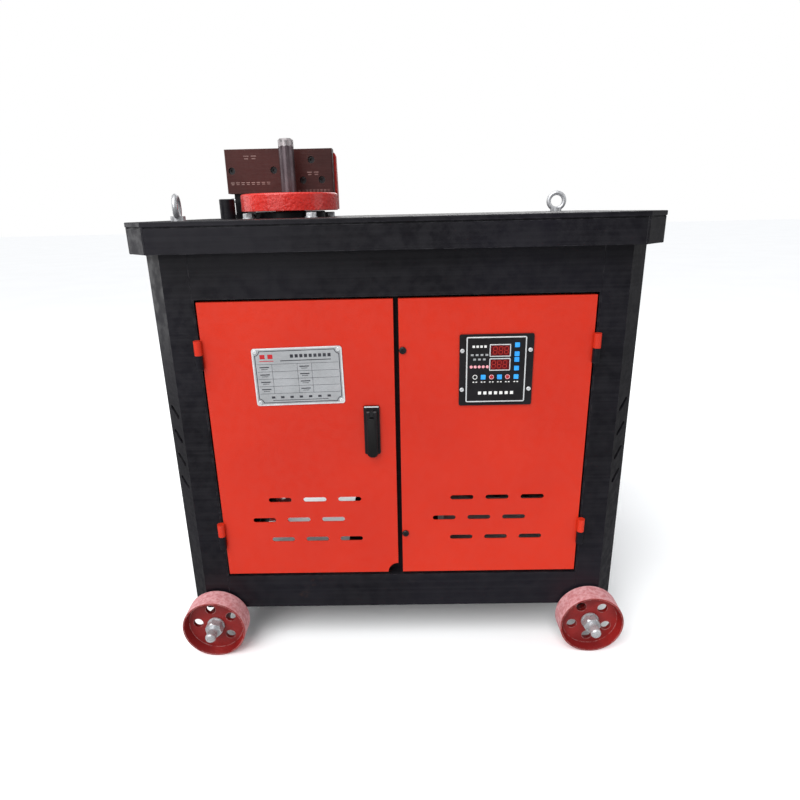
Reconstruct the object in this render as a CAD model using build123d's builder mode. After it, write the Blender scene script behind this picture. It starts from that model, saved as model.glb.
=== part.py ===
"""Rebar stirrup bender: cabinet table on four wheels, powered work disk, doors with latch and keys.

Millimetres, +Z up. The origin is on the floor below the middle of the table; the doors face -Y.
"""
import os
from math import acos, cos, pi, radians, sin, sqrt, tan

from build123d import *

os.makedirs("parts", exist_ok=True)

# ---------------------------------------------------------------- driving dimensions
# table
table_w = 900
table_d = 560
table_z = 841
plate_t = 8
table_corner = 43
apron_h = 43
apron_flange = 16
apron_t = 4.5
seam_h = 2
seam_depth = 2.5

# cabinet
cab_half_w = 432.5
cab_half_d = 244
cab_corner = 34.3
cab_bottom = 82
sheet_t = 3
opening_half_w = 348
opening_bottom = 155.5
opening_top = 711
post_return = 351

# doors
door_face_y = -247
door_t = 2
door_depth = 20
door_bottom = 164
door_top = 707
left_door_x = (-344, -5)
right_door_x = (4, 344)
hinge_x = 348.5
hinge_y = -251.5
hinge_r = 6.8
hinge_bore_r = 3.55
hinge_pin_r = 3.5
hinge_tops = (641.5, 279)
barrel_h = 26
slot_len = 44
slot_w = 9.5
slot_pitch = 67
slot_rows = ((327, 12), (284, -21.5), (241, 12))
rear_slot_pitch = 40

# wheels
wheel_r = 62.5
wheel_w = 41
wheel_x = 376
wheel_face = 289
axle_r = 12.5
axle_run_r = 12.55
axle_tube_r = 19

# work head
head_x = -212
disk_r = 96.5
disk_z = table_z + 13
disk_top = table_z + 46
disk_h = disk_top - disk_z
pin_r = 15
pin_shank_r = 12
pin_top = table_z + 148
block_y = 35
block_t = 35
post_r = 15.25
post_h = 38.5
shaft_r = 30
seat_r = 70
spigot_r = 59
bearing_r = 45
bearing_h = 20
seat_bolt_pcd_r = 90
seat_bolt_angle = 35
seat_bolt_r = 6
seat_washer_r = 12
seat_washer_t = 2
seat_head_across = 19
seat_head_h = 8

# gear train, all shafts upright and in line along X
slow_module = 4
fast_module = 3
gear_teeth = 60
pinion_teeth = 15
pressure_angle = 20
mid_x = head_x + slow_module * (gear_teeth + pinion_teeth) / 2
input_x = mid_x + fast_module * (gear_teeth + pinion_teeth) / 2
motor_x = input_x + 230
slow_gear_z = 700
slow_gear_h = 40
fast_gear_z = 760
fast_gear_h = 25
case_bottom = 690
case_wall = 10
belt_z = 657.5
big_groove_r = 96
small_groove_r = 32
belt_h = 13
belt_t = 8
motor_r = 95
motor_bottom = 325
motor_top = 615

motor_flange_t = 12

# shafts, fits and small fasteners
mid_shaft_r = 15
input_shaft_r = 12
motor_shaft_r = 14
run_gap = 0.05
head_seat_gap = 0.05
gear_backlash = 0.25
pulley_w = 35
shaft_rise = 17
pin_bottom = 815.5
block_bolt_r = 4

# lifting eyes, sheet details, axle parts and the cable gland
eye_x = 376
eye_y = 188
eye_places = ((-eye_x, -eye_y), (-eye_x, eye_y), (eye_x, eye_y))
eye_turns = (-80, -25, -4)
eye_collar_r = 12.5
eye_collar_h = 8
eye_ring_z = 22.5
eye_ring_r = 17.5
eye_bar_r = 5
eye_thread_r = 5
spare_hole_r = 4.25
weld_gap = 0.3
side_panel_half = 170
vent_top = 503
vent_pitch = 48
vent_len = 34
vent_tilt = 36
rail_lip = 23
strip_half = 25
stile_depth = 30
door_screw_x = 10.5
door_screw_z = (616.5, 251)
door_screw_r = 3
screw_head_r = 6.5
screw_head_h = 3.5
cross_rail_x = (-120, 80, 300)
gland_x = 200
gland_z = 200
gland_neck_r = 9
gland_bore_r = 5
axle_tube_half = 246
stud_r = 10
stud_end = 317
wheel_hole_pcd_r = 36
wheel_hole_r = 9.8
web_t = 8
wheel_washer_r = 17.5
washer_t = 3
nut_across = 30
nut_h = 16

# door furniture
notch_r = 20
plate_x = -175.8
plate_z = 573
plate_tilt = 1.1
plate_size = (160, 106)
rivet_spacing = (148, 94)
rivet_r = 1.6
latch_x = -47.8
latch_z = 498
latch_w = 29
latch_low = 421.5
latch_high = 515.5
latch_base_t = 4
spindle_r = 6
lever_w = 20
lever_low = 417
lever_half_t = 3.8
lever_pin_r = 2
lever_pivot_z = 504
panel_x = 175
panel_z = 578
panel_w = 130
bezel_t = 2.5
frame_t = 2
frame_size = (105, 119)
frame_shift = (-0.7, 1.4)
panel_screw_places = ((-60, 36), (59, 36), (-60, -35), (59, -35))
panel_screw_r = 1.8
panel_head_r = 3.8
panel_head_h = 2.2
case_size = (112, 104)
case_depth = 50
key_size = 8.4
key_gap = 0.3
key_x = 210.5
key_row_z = 566.2
key_column_z = (623.6, 607.6, 597.4, 581.8, key_row_z)
key_places = tuple((key_x, z) for z in key_column_z) + ((181.2, key_row_z), (152.4, key_row_z))
display_size = (34, 20)
display_places = ((181, 614.2), (181, 589))


# ---------------------------------------------------------------- helpers
def save(part, name):
    """Label a finished piece and write its STEP file."""
    part.label = name
    export_step(part, f"parts/{name}.step")


def octagon(half_w, half_d, corner):
    """Corner points of a rectangle with 45 degree corners, counter-clockwise from the front edge."""
    return [
        (-half_w + corner, -half_d),
        (half_w - corner, -half_d),
        (half_w, -half_d + corner),
        (half_w, half_d - corner),
        (half_w - corner, half_d),
        (-half_w + corner, half_d),
        (-half_w, half_d - corner),
        (-half_w, -half_d + corner),
    ]


def inset_octagon(half_w, half_d, corner, inset):
    """The same outline moved inwards by a wall thickness."""
    return octagon(half_w - inset, half_d - inset, corner - inset * (2 - sqrt(2)))


def side_strip(outer, inner, i, gap):
    """Plan outline of one side of a mitred ring, with a weld gap at each mitre."""
    j = (i + 1) % 8
    a, b, c, d = (Vector(*p) for p in (outer[i], outer[j], inner[j], inner[i]))
    step = (b - a).normalized() * gap
    return [a + step, b - step, c - step, d + step]


def folded(points, thickness):
    """Plan outline of a folded sheet: the given outer line and its offset to the left."""
    line = [Vector(*p) for p in points]
    runs = [(b - a).normalized() for a, b in zip(line, line[1:])]
    normals = [Vector(-run.Y, run.X) for run in runs]
    inner = [line[0] + normals[0] * thickness]
    for corner, before, after in zip(line[1:], normals, normals[1:]):
        inner.append(corner + (before + after) * (thickness / (1 + before.dot(after))))
    inner.append(line[-1] + normals[-1] * thickness)
    return line + inner[::-1]


def prism(points, z, height):
    """Add an upright prism over a plan outline."""
    with BuildSketch(Plane.XY.offset(z)) as plan:
        with BuildLine():
            Polyline(*points, close=True)
        make_face()
    extrude(plan.sketch, amount=height)


def block_between(low, high, mode=Mode.ADD):
    """Add or cut a box given by its lowest and highest corners."""
    size = [b - a for a, b in zip(low, high)]
    with Locations(low):
        Box(*size, align=(Align.MIN, Align.MIN, Align.MIN), mode=mode)


def upright(x, y, z, r, height, mode=Mode.ADD):
    """Add or cut an upright cylinder standing at a point."""
    with Locations((x, y, z)):
        Cylinder(r, height, align=(Align.CENTER, Align.CENTER, Align.MIN), mode=mode)


def along_y(x, y, z, r, length, mode=Mode.ADD):
    """Add or cut a cylinder that starts at a point and runs towards +Y."""
    with Locations(Location((x, y, z), (-90, 0, 0))):
        Cylinder(r, length, align=(Align.CENTER, Align.CENTER, Align.MIN), mode=mode)


def hex_y(x, y, z, across, length, mode=Mode.ADD):
    """Add or cut a hexagon prism that starts at a point and runs towards +Y."""
    with BuildSketch(Plane((x, y, z), x_dir=(1, 0, 0), z_dir=(0, 1, 0))) as hexagon:
        RegularPolygon(across / 2, 6, major_radius=False)
    extrude(hexagon.sketch, amount=length, mode=mode)


def tooth_points(module, teeth, backlash):
    """Involute outline points of a whole spur gear about the origin, first tooth on +X."""
    pitch_r = module * teeth / 2
    base_r = pitch_r * cos(radians(pressure_angle))
    tip_r = pitch_r + 0.9 * module
    root_r = pitch_r - 1.15 * module
    flank_start = max(base_r, root_r)
    pitch_inv = tan(radians(pressure_angle)) - radians(pressure_angle)
    half_at_pitch = pi / (2 * teeth) - backlash / (2 * pitch_r)

    def half_angle(r):
        a = acos(min(1.0, base_r / r))
        return half_at_pitch + pitch_inv - (tan(a) - a)

    flank = [flank_start + (tip_r - flank_start) * k / 3 for k in range(4)]
    profile = [(r, half_angle(r)) for r in flank]
    if root_r < base_r:
        profile.insert(0, (root_r, half_angle(base_r)))
    points = []
    for tooth in range(teeth):
        middle = 2 * pi * tooth / teeth
        points += [(r, middle - half) for r, half in profile]
        points += [(r, middle + half) for r, half in reversed(profile)]
    return [(r * cos(a), r * sin(a)) for r, a in points]


def gear(x, z, module, teeth, height):
    """Add a spur gear with its axis upright at x and a tooth facing +X."""
    with BuildSketch(Plane((x, 0, z))) as outline:
        with BuildLine():
            Polyline(*tooth_points(module, teeth, gear_backlash), close=True)
        make_face()
    extrude(outline.sketch, amount=height)


def hull_prism(circles, z, height, mode=Mode.ADD):
    """Add or cut a prism whose outline wraps circles given as (x, radius)."""
    with BuildSketch(Plane.XY.offset(z)) as outline:
        for x, r in circles:
            with Locations((x, 0)):
                Circle(r)
        make_hull()
    extrude(outline.sketch, amount=height, mode=mode)


def door_plane(x, z, tilt=0):
    """Plane on the door faces, looking out towards -Y, with its own x to the right."""
    a = radians(tilt)
    return Plane((x, door_face_y, z), x_dir=(cos(a), 0, sin(a)), z_dir=(0, -1, 0))


# ---------------------------------------------------------------- table
with BuildPart() as table_plate:
    prism(octagon(table_w / 2, table_d / 2, table_corner), table_z - plate_t, plate_t)
    plate_faces = table_plate.faces().sort_by(Axis.Z)
    chamfer(plate_faces[0].edges() + plate_faces[-1].edges(), 1)
    upright(head_x, 0, table_z - plate_t, spigot_r + 0.5, plate_t, Mode.SUBTRACT)
    with Locations((head_x, 0, table_z)):
        with PolarLocations(seat_bolt_pcd_r, 4, seat_bolt_angle):
            Hole(seat_bolt_r + 0.5, plate_t)
    for x, y in eye_places:
        upright(x, y, table_z - plate_t, eye_thread_r, plate_t, Mode.SUBTRACT)
    upright(eye_x, -eye_y, table_z - plate_t, spare_hole_r, plate_t, Mode.SUBTRACT)
save(table_plate.part, "table_plate")

apron_top = table_z - plate_t
apron_bottom = apron_top - apron_h
with BuildPart() as apron:
    apron_out = inset_octagon(table_w / 2, table_d / 2, table_corner, 1)
    apron_web = inset_octagon(table_w / 2, table_d / 2, table_corner, 1 + apron_t)
    apron_lip = inset_octagon(table_w / 2, table_d / 2, table_corner, apron_flange)
    seam_back = inset_octagon(table_w / 2, table_d / 2, table_corner, 1 + seam_depth)
    for i in range(8):
        prism(side_strip(apron_out, apron_web, i, weld_gap), apron_bottom, apron_h - seam_h)
        prism(side_strip(apron_out, apron_lip, i, weld_gap), apron_bottom, apron_t)
        prism(side_strip(seam_back, apron_lip, i, weld_gap), apron_top - apron_t, apron_t)
save(apron.part, "apron")

# ---------------------------------------------------------------- cabinet
with BuildPart() as corner_posts:
    prism(
        folded(
            [
                (post_return, -cab_half_d),
                (cab_half_w - cab_corner, -cab_half_d),
                (cab_half_w, -cab_half_d + cab_corner),
                (cab_half_w, -side_panel_half),
            ],
            sheet_t,
        ),
        cab_bottom,
        table_z - plate_t - cab_bottom,
    )
    facet_middle = (cab_half_w - cab_corner / 2, -cab_half_d + cab_corner / 2, 0)
    with BuildSketch(Plane(facet_middle, x_dir=(1, 1, 0), z_dir=(1, -1, 0))):
        for i in range(4):
            with Locations((-1, vent_top - i * vent_pitch)):
                SlotOverall(vent_len, slot_w, rotation=vent_tilt)
    extrude(amount=4 * sheet_t, both=True, mode=Mode.SUBTRACT)
    mirror(about=Plane.YZ)
    mirror(about=Plane.XZ)
save(corner_posts.part, "corner_posts")

with BuildPart() as side_panels:
    low = (cab_half_w - sheet_t, -side_panel_half + weld_gap, cab_bottom)
    high = (cab_half_w, side_panel_half - weld_gap, table_z - plate_t)
    block_between(low, high)
    mirror(about=Plane.YZ)
save(side_panels.part, "side_panels")

with BuildPart() as rear_panel:
    low = (-post_return + weld_gap, cab_half_d - sheet_t, cab_bottom)
    high = (post_return - weld_gap, cab_half_d, table_z - plate_t)
    block_between(low, high)
    panel_middle = (0, cab_half_d, (opening_top + opening_bottom) / 2)
    with BuildSketch(Plane(panel_middle, x_dir=(-1, 0, 0), z_dir=(0, 1, 0))):
        with GridLocations(3 * slot_len / 2, rear_slot_pitch, 8, 4):
            SlotOverall(slot_len, slot_w)
    extrude(amount=-sheet_t, mode=Mode.SUBTRACT)
    along_y(gland_x, cab_half_d - sheet_t, gland_z, gland_neck_r, sheet_t, Mode.SUBTRACT)
save(rear_panel.part, "rear_panel")

rail_half = post_return - weld_gap
rail_lip_y = -cab_half_d + rail_lip
with BuildPart() as front_rails:
    for low_z, high_z, lip_z in (
        (opening_top, table_z - plate_t, opening_top),
        (cab_bottom, opening_bottom, opening_bottom - sheet_t),
    ):
        block_between((-rail_half, -cab_half_d, low_z), (rail_half, -cab_half_d + sheet_t, high_z))
        lip_end = (opening_half_w, rail_lip_y, lip_z + sheet_t)
        block_between((-opening_half_w, -cab_half_d, lip_z), lip_end)
save(front_rails.part, "front_rails")

strip_y = rail_lip_y - sheet_t
with BuildPart() as door_stiles:
    low = (opening_half_w, -cab_half_d + weld_gap, opening_bottom)
    high = (post_return - weld_gap, -cab_half_d + stile_depth, opening_top)
    block_between(low, high)
    mirror(about=Plane.YZ)
    block_between((-strip_half, strip_y, opening_bottom), (strip_half, rail_lip_y, opening_top))
    for z in door_screw_z:
        along_y(door_screw_x, strip_y, z, door_screw_r + 1.5, sheet_t, Mode.SUBTRACT)
save(door_stiles.part, "door_stiles")

angle_t = 4
angle_h = 40
side_angle_w = 60
side_angle_half = 200
angle_top = cab_bottom + angle_h
with BuildPart() as base_rails:
    rail_end = cab_half_d - sheet_t
    side_x = cab_half_w - sheet_t
    side_end = (side_x, side_angle_half, cab_bottom + angle_t)
    block_between((side_x - side_angle_w, -side_angle_half, cab_bottom), side_end)
    side_end = (side_x, side_angle_half, angle_top)
    block_between((side_x - angle_t, -side_angle_half, cab_bottom), side_end)
    mirror(about=Plane.YZ)
    for x in cross_rail_x:
        block_between((x, -rail_end, angle_top - angle_t), (x + angle_h, rail_end, angle_top))
        block_between((x, -rail_end, cab_bottom), (x + angle_t, rail_end, angle_top))
save(base_rails.part, "base_rails")

# ---------------------------------------------------------------- wheels and axles
with BuildPart() as axle_tubes:
    with BuildSketch(Plane((wheel_x, -axle_tube_half, wheel_r), x_dir=(1, 0, 0), z_dir=(0, 1, 0))):
        Circle(axle_tube_r)
        Circle(axle_r, mode=Mode.SUBTRACT)
    extrude(amount=2 * axle_tube_half)
    mirror(about=Plane.YZ)
save(axle_tubes.part, "axle_tubes")

hub_face = wheel_face - (wheel_w - web_t) / 2
shoulder_y = hub_face + 1
with BuildPart() as axles:
    along_y(wheel_x, -shoulder_y, wheel_r, axle_r, 2 * shoulder_y)
    along_y(wheel_x, -stud_end, wheel_r, stud_r, 2 * stud_end)
    end_edges = axles.edges().filter_by(GeomType.CIRCLE).group_by(Axis.Y)
    fillet(end_edges[0] + end_edges[-1], 5)
    mirror(about=Plane.YZ)
save(axles.part, "axles")

with BuildPart() as wheel_nuts:
    washer_y = -shoulder_y - washer_t
    along_y(wheel_x, washer_y, wheel_r, wheel_washer_r, washer_t)
    hex_y(wheel_x, washer_y - nut_h - head_seat_gap, wheel_r, nut_across, nut_h)
    along_y(wheel_x, -stud_end, wheel_r, stud_r, stud_end, Mode.SUBTRACT)
    mirror(about=Plane.YZ)
    mirror(about=Plane.XZ)
save(wheel_nuts.part, "wheel_nuts")


def make_wheel(name, x, side, hole_phase):
    """Cast wheel: rounded rim, web with five holes, and a bored hub that is flush with the web outside."""
    web_out = (wheel_w - web_t) / 2
    web_in = web_out + web_t
    rim_in = wheel_r - 7
    with BuildPart() as wheel:
        outer_face = (x, side * wheel_face, wheel_r)
        with BuildSketch(Plane(outer_face, x_dir=(1, 0, 0), z_dir=(0, 0, -side))) as profile:
            with BuildLine():
                Polyline(
                    (axle_run_r, web_out), (rim_in - 1, web_out), (wheel_r - 3, 0), (wheel_r, 0),
                    (wheel_r, wheel_w), (rim_in + 2, wheel_w), (rim_in - 1, web_in),
                    (24, web_in), (22, wheel_w), (axle_run_r, wheel_w), close=True,
                )
            make_face()
            rim_corners = profile.vertices().group_by(Axis.X)[-1]
            fillet(rim_corners, 1.2)
        revolve(axis=Axis((x, 0, wheel_r), (0, 1, 0)))
        with BuildSketch(Plane(outer_face, x_dir=(1, 0, 0), z_dir=(0, -1, 0))):
            with PolarLocations(wheel_hole_pcd_r, 5, hole_phase):
                Circle(wheel_hole_r)
        extrude(amount=wheel_w, both=True, mode=Mode.SUBTRACT)
    save(wheel.part, name)


make_wheel("wheel_front_left", -wheel_x, -1, 30)
make_wheel("wheel_front_right", wheel_x, -1, 49)
make_wheel("wheel_rear_left", -wheel_x, 1, 12)
make_wheel("wheel_rear_right", wheel_x, 1, 63)

# ---------------------------------------------------------------- gearbox
case_outline = ((head_x, 138), (mid_x, 104), (input_x, 48))
case_inside = tuple((x, r - case_wall) for x, r in case_outline)
case_top = table_z - plate_t
case_roof = case_top - 12
with BuildPart() as gearbox_housing:
    hull_prism(case_outline, case_bottom, case_top - case_bottom)
    hull_prism(case_inside, case_bottom, case_roof - case_bottom, Mode.SUBTRACT)
    upright(head_x, 0, case_roof, spigot_r, 12, Mode.SUBTRACT)
    upright(mid_x, 0, case_roof, mid_shaft_r + run_gap, 8, Mode.SUBTRACT)
    upright(input_x, 0, case_roof, input_shaft_r + run_gap, 8, Mode.SUBTRACT)
    with Locations((head_x, 0, case_top)):
        with PolarLocations(seat_bolt_pcd_r, 4, seat_bolt_angle):
            Hole(seat_bolt_r, 12)
save(gearbox_housing.part, "gearbox_housing")

cover_t = 8
boss_h = 18
cover_z = case_bottom - cover_t
with BuildPart() as gearbox_cover:
    hull_prism(case_outline, cover_z, cover_t)
    upright(head_x, 0, cover_z - boss_h, bearing_r + 13, boss_h)
    upright(head_x, 0, cover_z - boss_h + 4, bearing_r, boss_h + cover_t, Mode.SUBTRACT)
    upright(mid_x, 0, cover_z + 3, mid_shaft_r + run_gap, cover_t, Mode.SUBTRACT)
    upright(input_x, 0, cover_z, input_shaft_r + run_gap, cover_t, Mode.SUBTRACT)
save(gearbox_cover.part, "gearbox_cover")

low_bearing_z = cover_z - boss_h + 4
top_bearing_z = case_roof + 5
with BuildPart() as main_bearings:
    for z in (low_bearing_z, top_bearing_z):
        upright(head_x, 0, z, bearing_r, bearing_h)
        upright(head_x, 0, z, shaft_r + run_gap, bearing_h, Mode.SUBTRACT)
save(main_bearings.part, "main_bearings")

seat_h = disk_z - table_z - 0.6
with BuildPart() as bearing_seat:
    upright(head_x, 0, case_roof, spigot_r, table_z - case_roof)
    upright(head_x, 0, table_z, seat_r, seat_h)
    fillet(bearing_seat.faces().sort_by(Axis.Z)[-1].edges(), 2)
    upright(head_x, 0, case_roof, shaft_r + 3, seat_h + 40, Mode.SUBTRACT)
    upright(head_x, 0, top_bearing_z, bearing_r, seat_h + 40, Mode.SUBTRACT)
save(bearing_seat.part, "bearing_seat")

with BuildPart() as seat_bolts:
    with Locations((head_x, 0, table_z)):
        with PolarLocations(seat_bolt_pcd_r, 4, seat_bolt_angle):
            Cylinder(seat_washer_r, seat_washer_t, align=(Align.CENTER, Align.CENTER, Align.MIN))
            Hole(seat_bolt_r + 0.5, seat_washer_t)
    head_z = table_z + seat_washer_t + head_seat_gap
    with BuildSketch(Plane((head_x, 0, head_z))):
        with PolarLocations(seat_bolt_pcd_r, 4, seat_bolt_angle):
            RegularPolygon(seat_head_across / 2, 6, major_radius=False, rotation=11)
    extrude(amount=seat_head_h)
    with BuildSketch(Plane((head_x, 0, case_roof + 1))):
        with PolarLocations(seat_bolt_pcd_r, 4, seat_bolt_angle):
            Circle(seat_bolt_r)
    extrude(amount=head_z - case_roof - 1)
save(seat_bolts.part, "seat_bolts")

with BuildPart() as main_shaft:
    upright(head_x, 0, low_bearing_z + 2, shaft_r, disk_z + shaft_rise - low_bearing_z - 2)
    upright(head_x, 0, pin_bottom, pin_shank_r, 200, Mode.SUBTRACT)
save(main_shaft.part, "main_shaft")

with BuildPart() as output_gear:
    gear(head_x, slow_gear_z, slow_module, gear_teeth, slow_gear_h)
    upright(head_x, 0, slow_gear_z, shaft_r, slow_gear_h, Mode.SUBTRACT)
save(output_gear.part, "output_gear")

with BuildPart() as mid_gears:
    upright(mid_x, 0, cover_z + 4, mid_shaft_r, case_roof + 5 - cover_z - 4)
    gear(mid_x, slow_gear_z - 2, slow_module, pinion_teeth, slow_gear_h + 4)
    gear(mid_x, fast_gear_z, fast_module, gear_teeth, fast_gear_h)
save(mid_gears.part, "mid_gears")

pulley_z = belt_z - pulley_w / 2
with BuildPart() as input_shaft:
    upright(input_x, 0, pulley_z - 4, input_shaft_r, case_roof + 5 - pulley_z + 4)
    gear(input_x, fast_gear_z - 3, fast_module, pinion_teeth, fast_gear_h + 6)
save(input_shaft.part, "input_shaft")


def make_pulley(name, x, groove_r, bore_r):
    """Single-groove V-belt pulley, bored to fit its shaft."""
    belt_half = belt_h / 2 + 0.5
    rim_r = groove_r + belt_t + 2
    half = pulley_w / 2
    floor_r = groove_r - 0.4
    with BuildPart() as pulley:
        with BuildSketch(Plane((x, 0, belt_z), x_dir=(1, 0, 0), z_dir=(0, -1, 0))):
            with BuildLine():
                Polyline(
                    (bore_r, -half), (rim_r, -half), (rim_r, -belt_half - 2), (floor_r, -belt_half),
                    (floor_r, belt_half), (rim_r, belt_half + 2), (rim_r, half), (bore_r, half),
                    close=True,
                )
            make_face()
        revolve(axis=Axis((x, 0, 0), (0, 0, 1)))
    save(pulley.part, name)


make_pulley("input_pulley", input_x, big_groove_r, input_shaft_r)
make_pulley("motor_pulley", motor_x, small_groove_r, motor_shaft_r)

with BuildPart() as v_belt:
    belt_low = belt_z - belt_h / 2
    hull_prism(((input_x, big_groove_r + belt_t), (motor_x, small_groove_r + belt_t)), belt_low, belt_h)
    hull_prism(((input_x, big_groove_r), (motor_x, small_groove_r)), belt_low, belt_h, Mode.SUBTRACT)
save(v_belt.part, "v_belt")

# ---------------------------------------------------------------- motor
motor_bore_z = motor_top - 68
band_groove_z = motor_bottom + 60
terminal_box_low = (motor_x - 45, motor_r - 15, 470)
terminal_box_high = (motor_x + 45, motor_r + 35, 560)
with BuildPart() as motor_shaft:
    upright(motor_x, 0, motor_bore_z + 2, motor_shaft_r, belt_z + pulley_w / 2 + 4 - motor_bore_z)
save(motor_shaft.part, "motor_shaft")

with BuildPart() as motor_body:
    upright(motor_x, 0, motor_bottom, motor_r, motor_top - motor_bottom)
    bottom_edge = motor_body.faces().sort_by(Axis.Z)[0].edges()
    fillet(bottom_edge, 12)
    upright(motor_x, 0, motor_top - motor_flange_t, motor_r + 3, motor_flange_t)
    block_between(terminal_box_low, terminal_box_high)
    upright(motor_x, 0, motor_bore_z, motor_shaft_r + run_gap, motor_top - motor_bore_z, Mode.SUBTRACT)
    with BuildSketch(Plane.XY.offset(band_groove_z)):
        with Locations((motor_x, 0)):
            Circle(motor_r + 5)
            Circle(motor_r - 3, mode=Mode.SUBTRACT)
    extrude(amount=4, mode=Mode.SUBTRACT)
save(motor_body.part, "motor_body")

mount_plate_t = 10
mount_side_t = 8
mount_half_d = 123
mount_half_w = motor_r + 3
with BuildPart() as motor_mount:
    mount_low = motor_x - mount_half_w
    mount_high = motor_x + mount_half_w
    plate_top = motor_top + mount_plate_t
    block_between((mount_low, -mount_half_d, motor_top), (mount_high, mount_half_d, plate_top))
    upright(motor_x, 0, motor_top, 30, mount_plate_t, Mode.SUBTRACT)
    for side_y in (-mount_half_d, mount_half_d - mount_side_t):
        side_end = (mount_high, side_y + mount_side_t, table_z - plate_t)
        block_between((mount_low, side_y, plate_top), side_end)
save(motor_mount.part, "motor_mount")

# ---------------------------------------------------------------- work head above the table
with BuildPart() as work_disk:
    upright(head_x, 0, disk_z, disk_r, disk_h)
    fillet(work_disk.faces().sort_by(Axis.Z)[-1].edges(), 4)
    chamfer(work_disk.faces().sort_by(Axis.Z)[0].edges(), 1)
    upright(head_x, 0, disk_z, shaft_r, shaft_rise, Mode.SUBTRACT)
    upright(head_x, 0, disk_z, pin_shank_r, disk_h, Mode.SUBTRACT)
save(work_disk.part, "work_disk")

with BuildPart() as centre_pin:
    upright(head_x, 0, pin_bottom, pin_shank_r, disk_top - pin_bottom)
    upright(head_x, 0, disk_top, pin_r, pin_top - disk_top)
    chamfer(centre_pin.faces().sort_by(Axis.Z)[-1].edges(), 3)
save(centre_pin.part, "centre_pin")


def bolt_places(holes):
    """World positions of block bolts given as (x from the disk axis, height above the table)."""
    return [(head_x + x, table_z + z) for x, z in holes]


def make_block(name, low, high, holes):
    """Hardened block with counterbored bolt holes through its thickness."""
    with BuildPart() as block:
        block_between(low, high)
        fillet(block.edges().filter_by(Axis.Z), 2.5)
        for x, z in bolt_places(holes):
            along_y(x, block_y, z, 7, 12, Mode.SUBTRACT)
            along_y(x, block_y, z, 4.5, block_t, Mode.SUBTRACT)
    save(block.part, name)


def make_block_bolts(name, holes):
    """Socket cap screws sunk in a block and threaded into the bracket behind it."""
    with BuildPart() as bolts:
        for x, z in bolt_places(holes):
            along_y(x, block_y + 4, z, 6.5, 8)
            along_y(x, block_y + 12, z, block_bolt_r, block_t)
            hex_y(x, block_y + 4, z, 6, 4, Mode.SUBTRACT)
    save(bolts.part, name)


back_y = block_y + block_t
swing_holes = ((43.3, 111.6), (24.5, 73), (63.3, 73))
fence_holes = ((-121, 93.5), (-34.7, 93.5))
swing_low = (head_x - 2, block_y, disk_top)
swing_high = (head_x + 86.5, back_y, table_z + 132.5)
fence_low = (head_x - 133.5, block_y, disk_top + 3.5)
fence_high = (head_x - 16, back_y, table_z + 134.5)
make_block("swing_block", swing_low, swing_high, swing_holes)
make_block("fence_block", fence_low, fence_high, fence_holes)
make_block_bolts("swing_bolts", swing_holes)
make_block_bolts("fence_bolts", fence_holes)

bracket_top = table_z + 128
bracket_foot_d = 28
bracket_head_d = 16
with BuildPart() as swing_bracket:
    with BuildSketch(Plane.YZ.offset(head_x + 2)):
        with BuildLine():
            Polyline(
                (back_y, disk_top), (back_y + bracket_foot_d, disk_top),
                (back_y + bracket_head_d, bracket_top), (back_y, bracket_top), close=True,
            )
        make_face()
    extrude(amount=89)
    block_between((head_x + 60, back_y, disk_z + 2), (head_x + 91, back_y + bracket_foot_d, disk_top))
    upright(head_x, 0, disk_z, disk_r, disk_h, Mode.SUBTRACT)
    across = swing_bracket.edges().filter_by(Axis.Y)
    top_corner = across.sort_by(lambda edge: edge.center().X + edge.center().Z)[-1]
    fillet(top_corner, 8)
    for x, z in bolt_places(swing_holes):
        along_y(x, back_y, z, block_bolt_r, 13, Mode.SUBTRACT)
save(swing_bracket.part, "swing_bracket")

fence_back = back_y + 16
foot_t = 8
gusset_x = head_x - 118
gusset_t = 12
with BuildPart() as fence_bracket:
    block_between((head_x - 130, back_y, fence_low[2]), (head_x - 24, fence_back, table_z + 129))
    block_between((head_x - 123, block_y + 10, table_z), (head_x - 98, fence_back, fence_low[2]))
    block_between((head_x - 140, fence_back, table_z), (head_x - 85, back_y + 90, table_z + foot_t))
    with BuildSketch(Plane.YZ.offset(gusset_x)):
        with BuildLine():
            Polyline(
                (fence_back, table_z + foot_t), (back_y + 84, table_z + foot_t),
                (fence_back, table_z + 122), close=True,
            )
        make_face()
    extrude(amount=gusset_t)
    for x, z in bolt_places(fence_holes):
        along_y(x, back_y, z, block_bolt_r, 12, Mode.SUBTRACT)
save(fence_bracket.part, "fence_bracket")

with BuildPart() as bar_post:
    upright(head_x - 128, 0, table_z, post_r, post_h)
    chamfer(bar_post.faces().sort_by(Axis.Z)[-1].edges(), 1)
save(bar_post.part, "bar_post")

with BuildPart() as eye_bolts:
    for (x, y), turn in zip(eye_places, eye_turns):
        upright(x, y, table_z, eye_collar_r, eye_collar_h)
        upright(x, y, table_z - 17, eye_thread_r, 17)
        with Locations(Location((x, y, table_z + eye_ring_z), (90, turn, 0))):
            Torus(eye_ring_r, eye_bar_r)
save(eye_bolts.part, "eye_bolts")

# ---------------------------------------------------------------- doors and hinges
lower_gap = 0.4


def lower_barrel_z(top):
    """Foot of the lower barrel under an upper barrel whose top is given."""
    return top - 2 * barrel_h - lower_gap


with BuildPart() as hinge_lower_barrels:
    for top in hinge_tops:
        z = lower_barrel_z(top)
        upright(-hinge_x, hinge_y, z, hinge_r, barrel_h)
        block_between((-hinge_x - 4, hinge_y + 3, z + 3), (-hinge_x + 2.5, -cab_half_d, z + barrel_h - 3))
        upright(-hinge_x, hinge_y, z + 3, hinge_pin_r, barrel_h, Mode.SUBTRACT)
    mirror(about=Plane.YZ)
save(hinge_lower_barrels.part, "hinge_lower_barrels")

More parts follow.
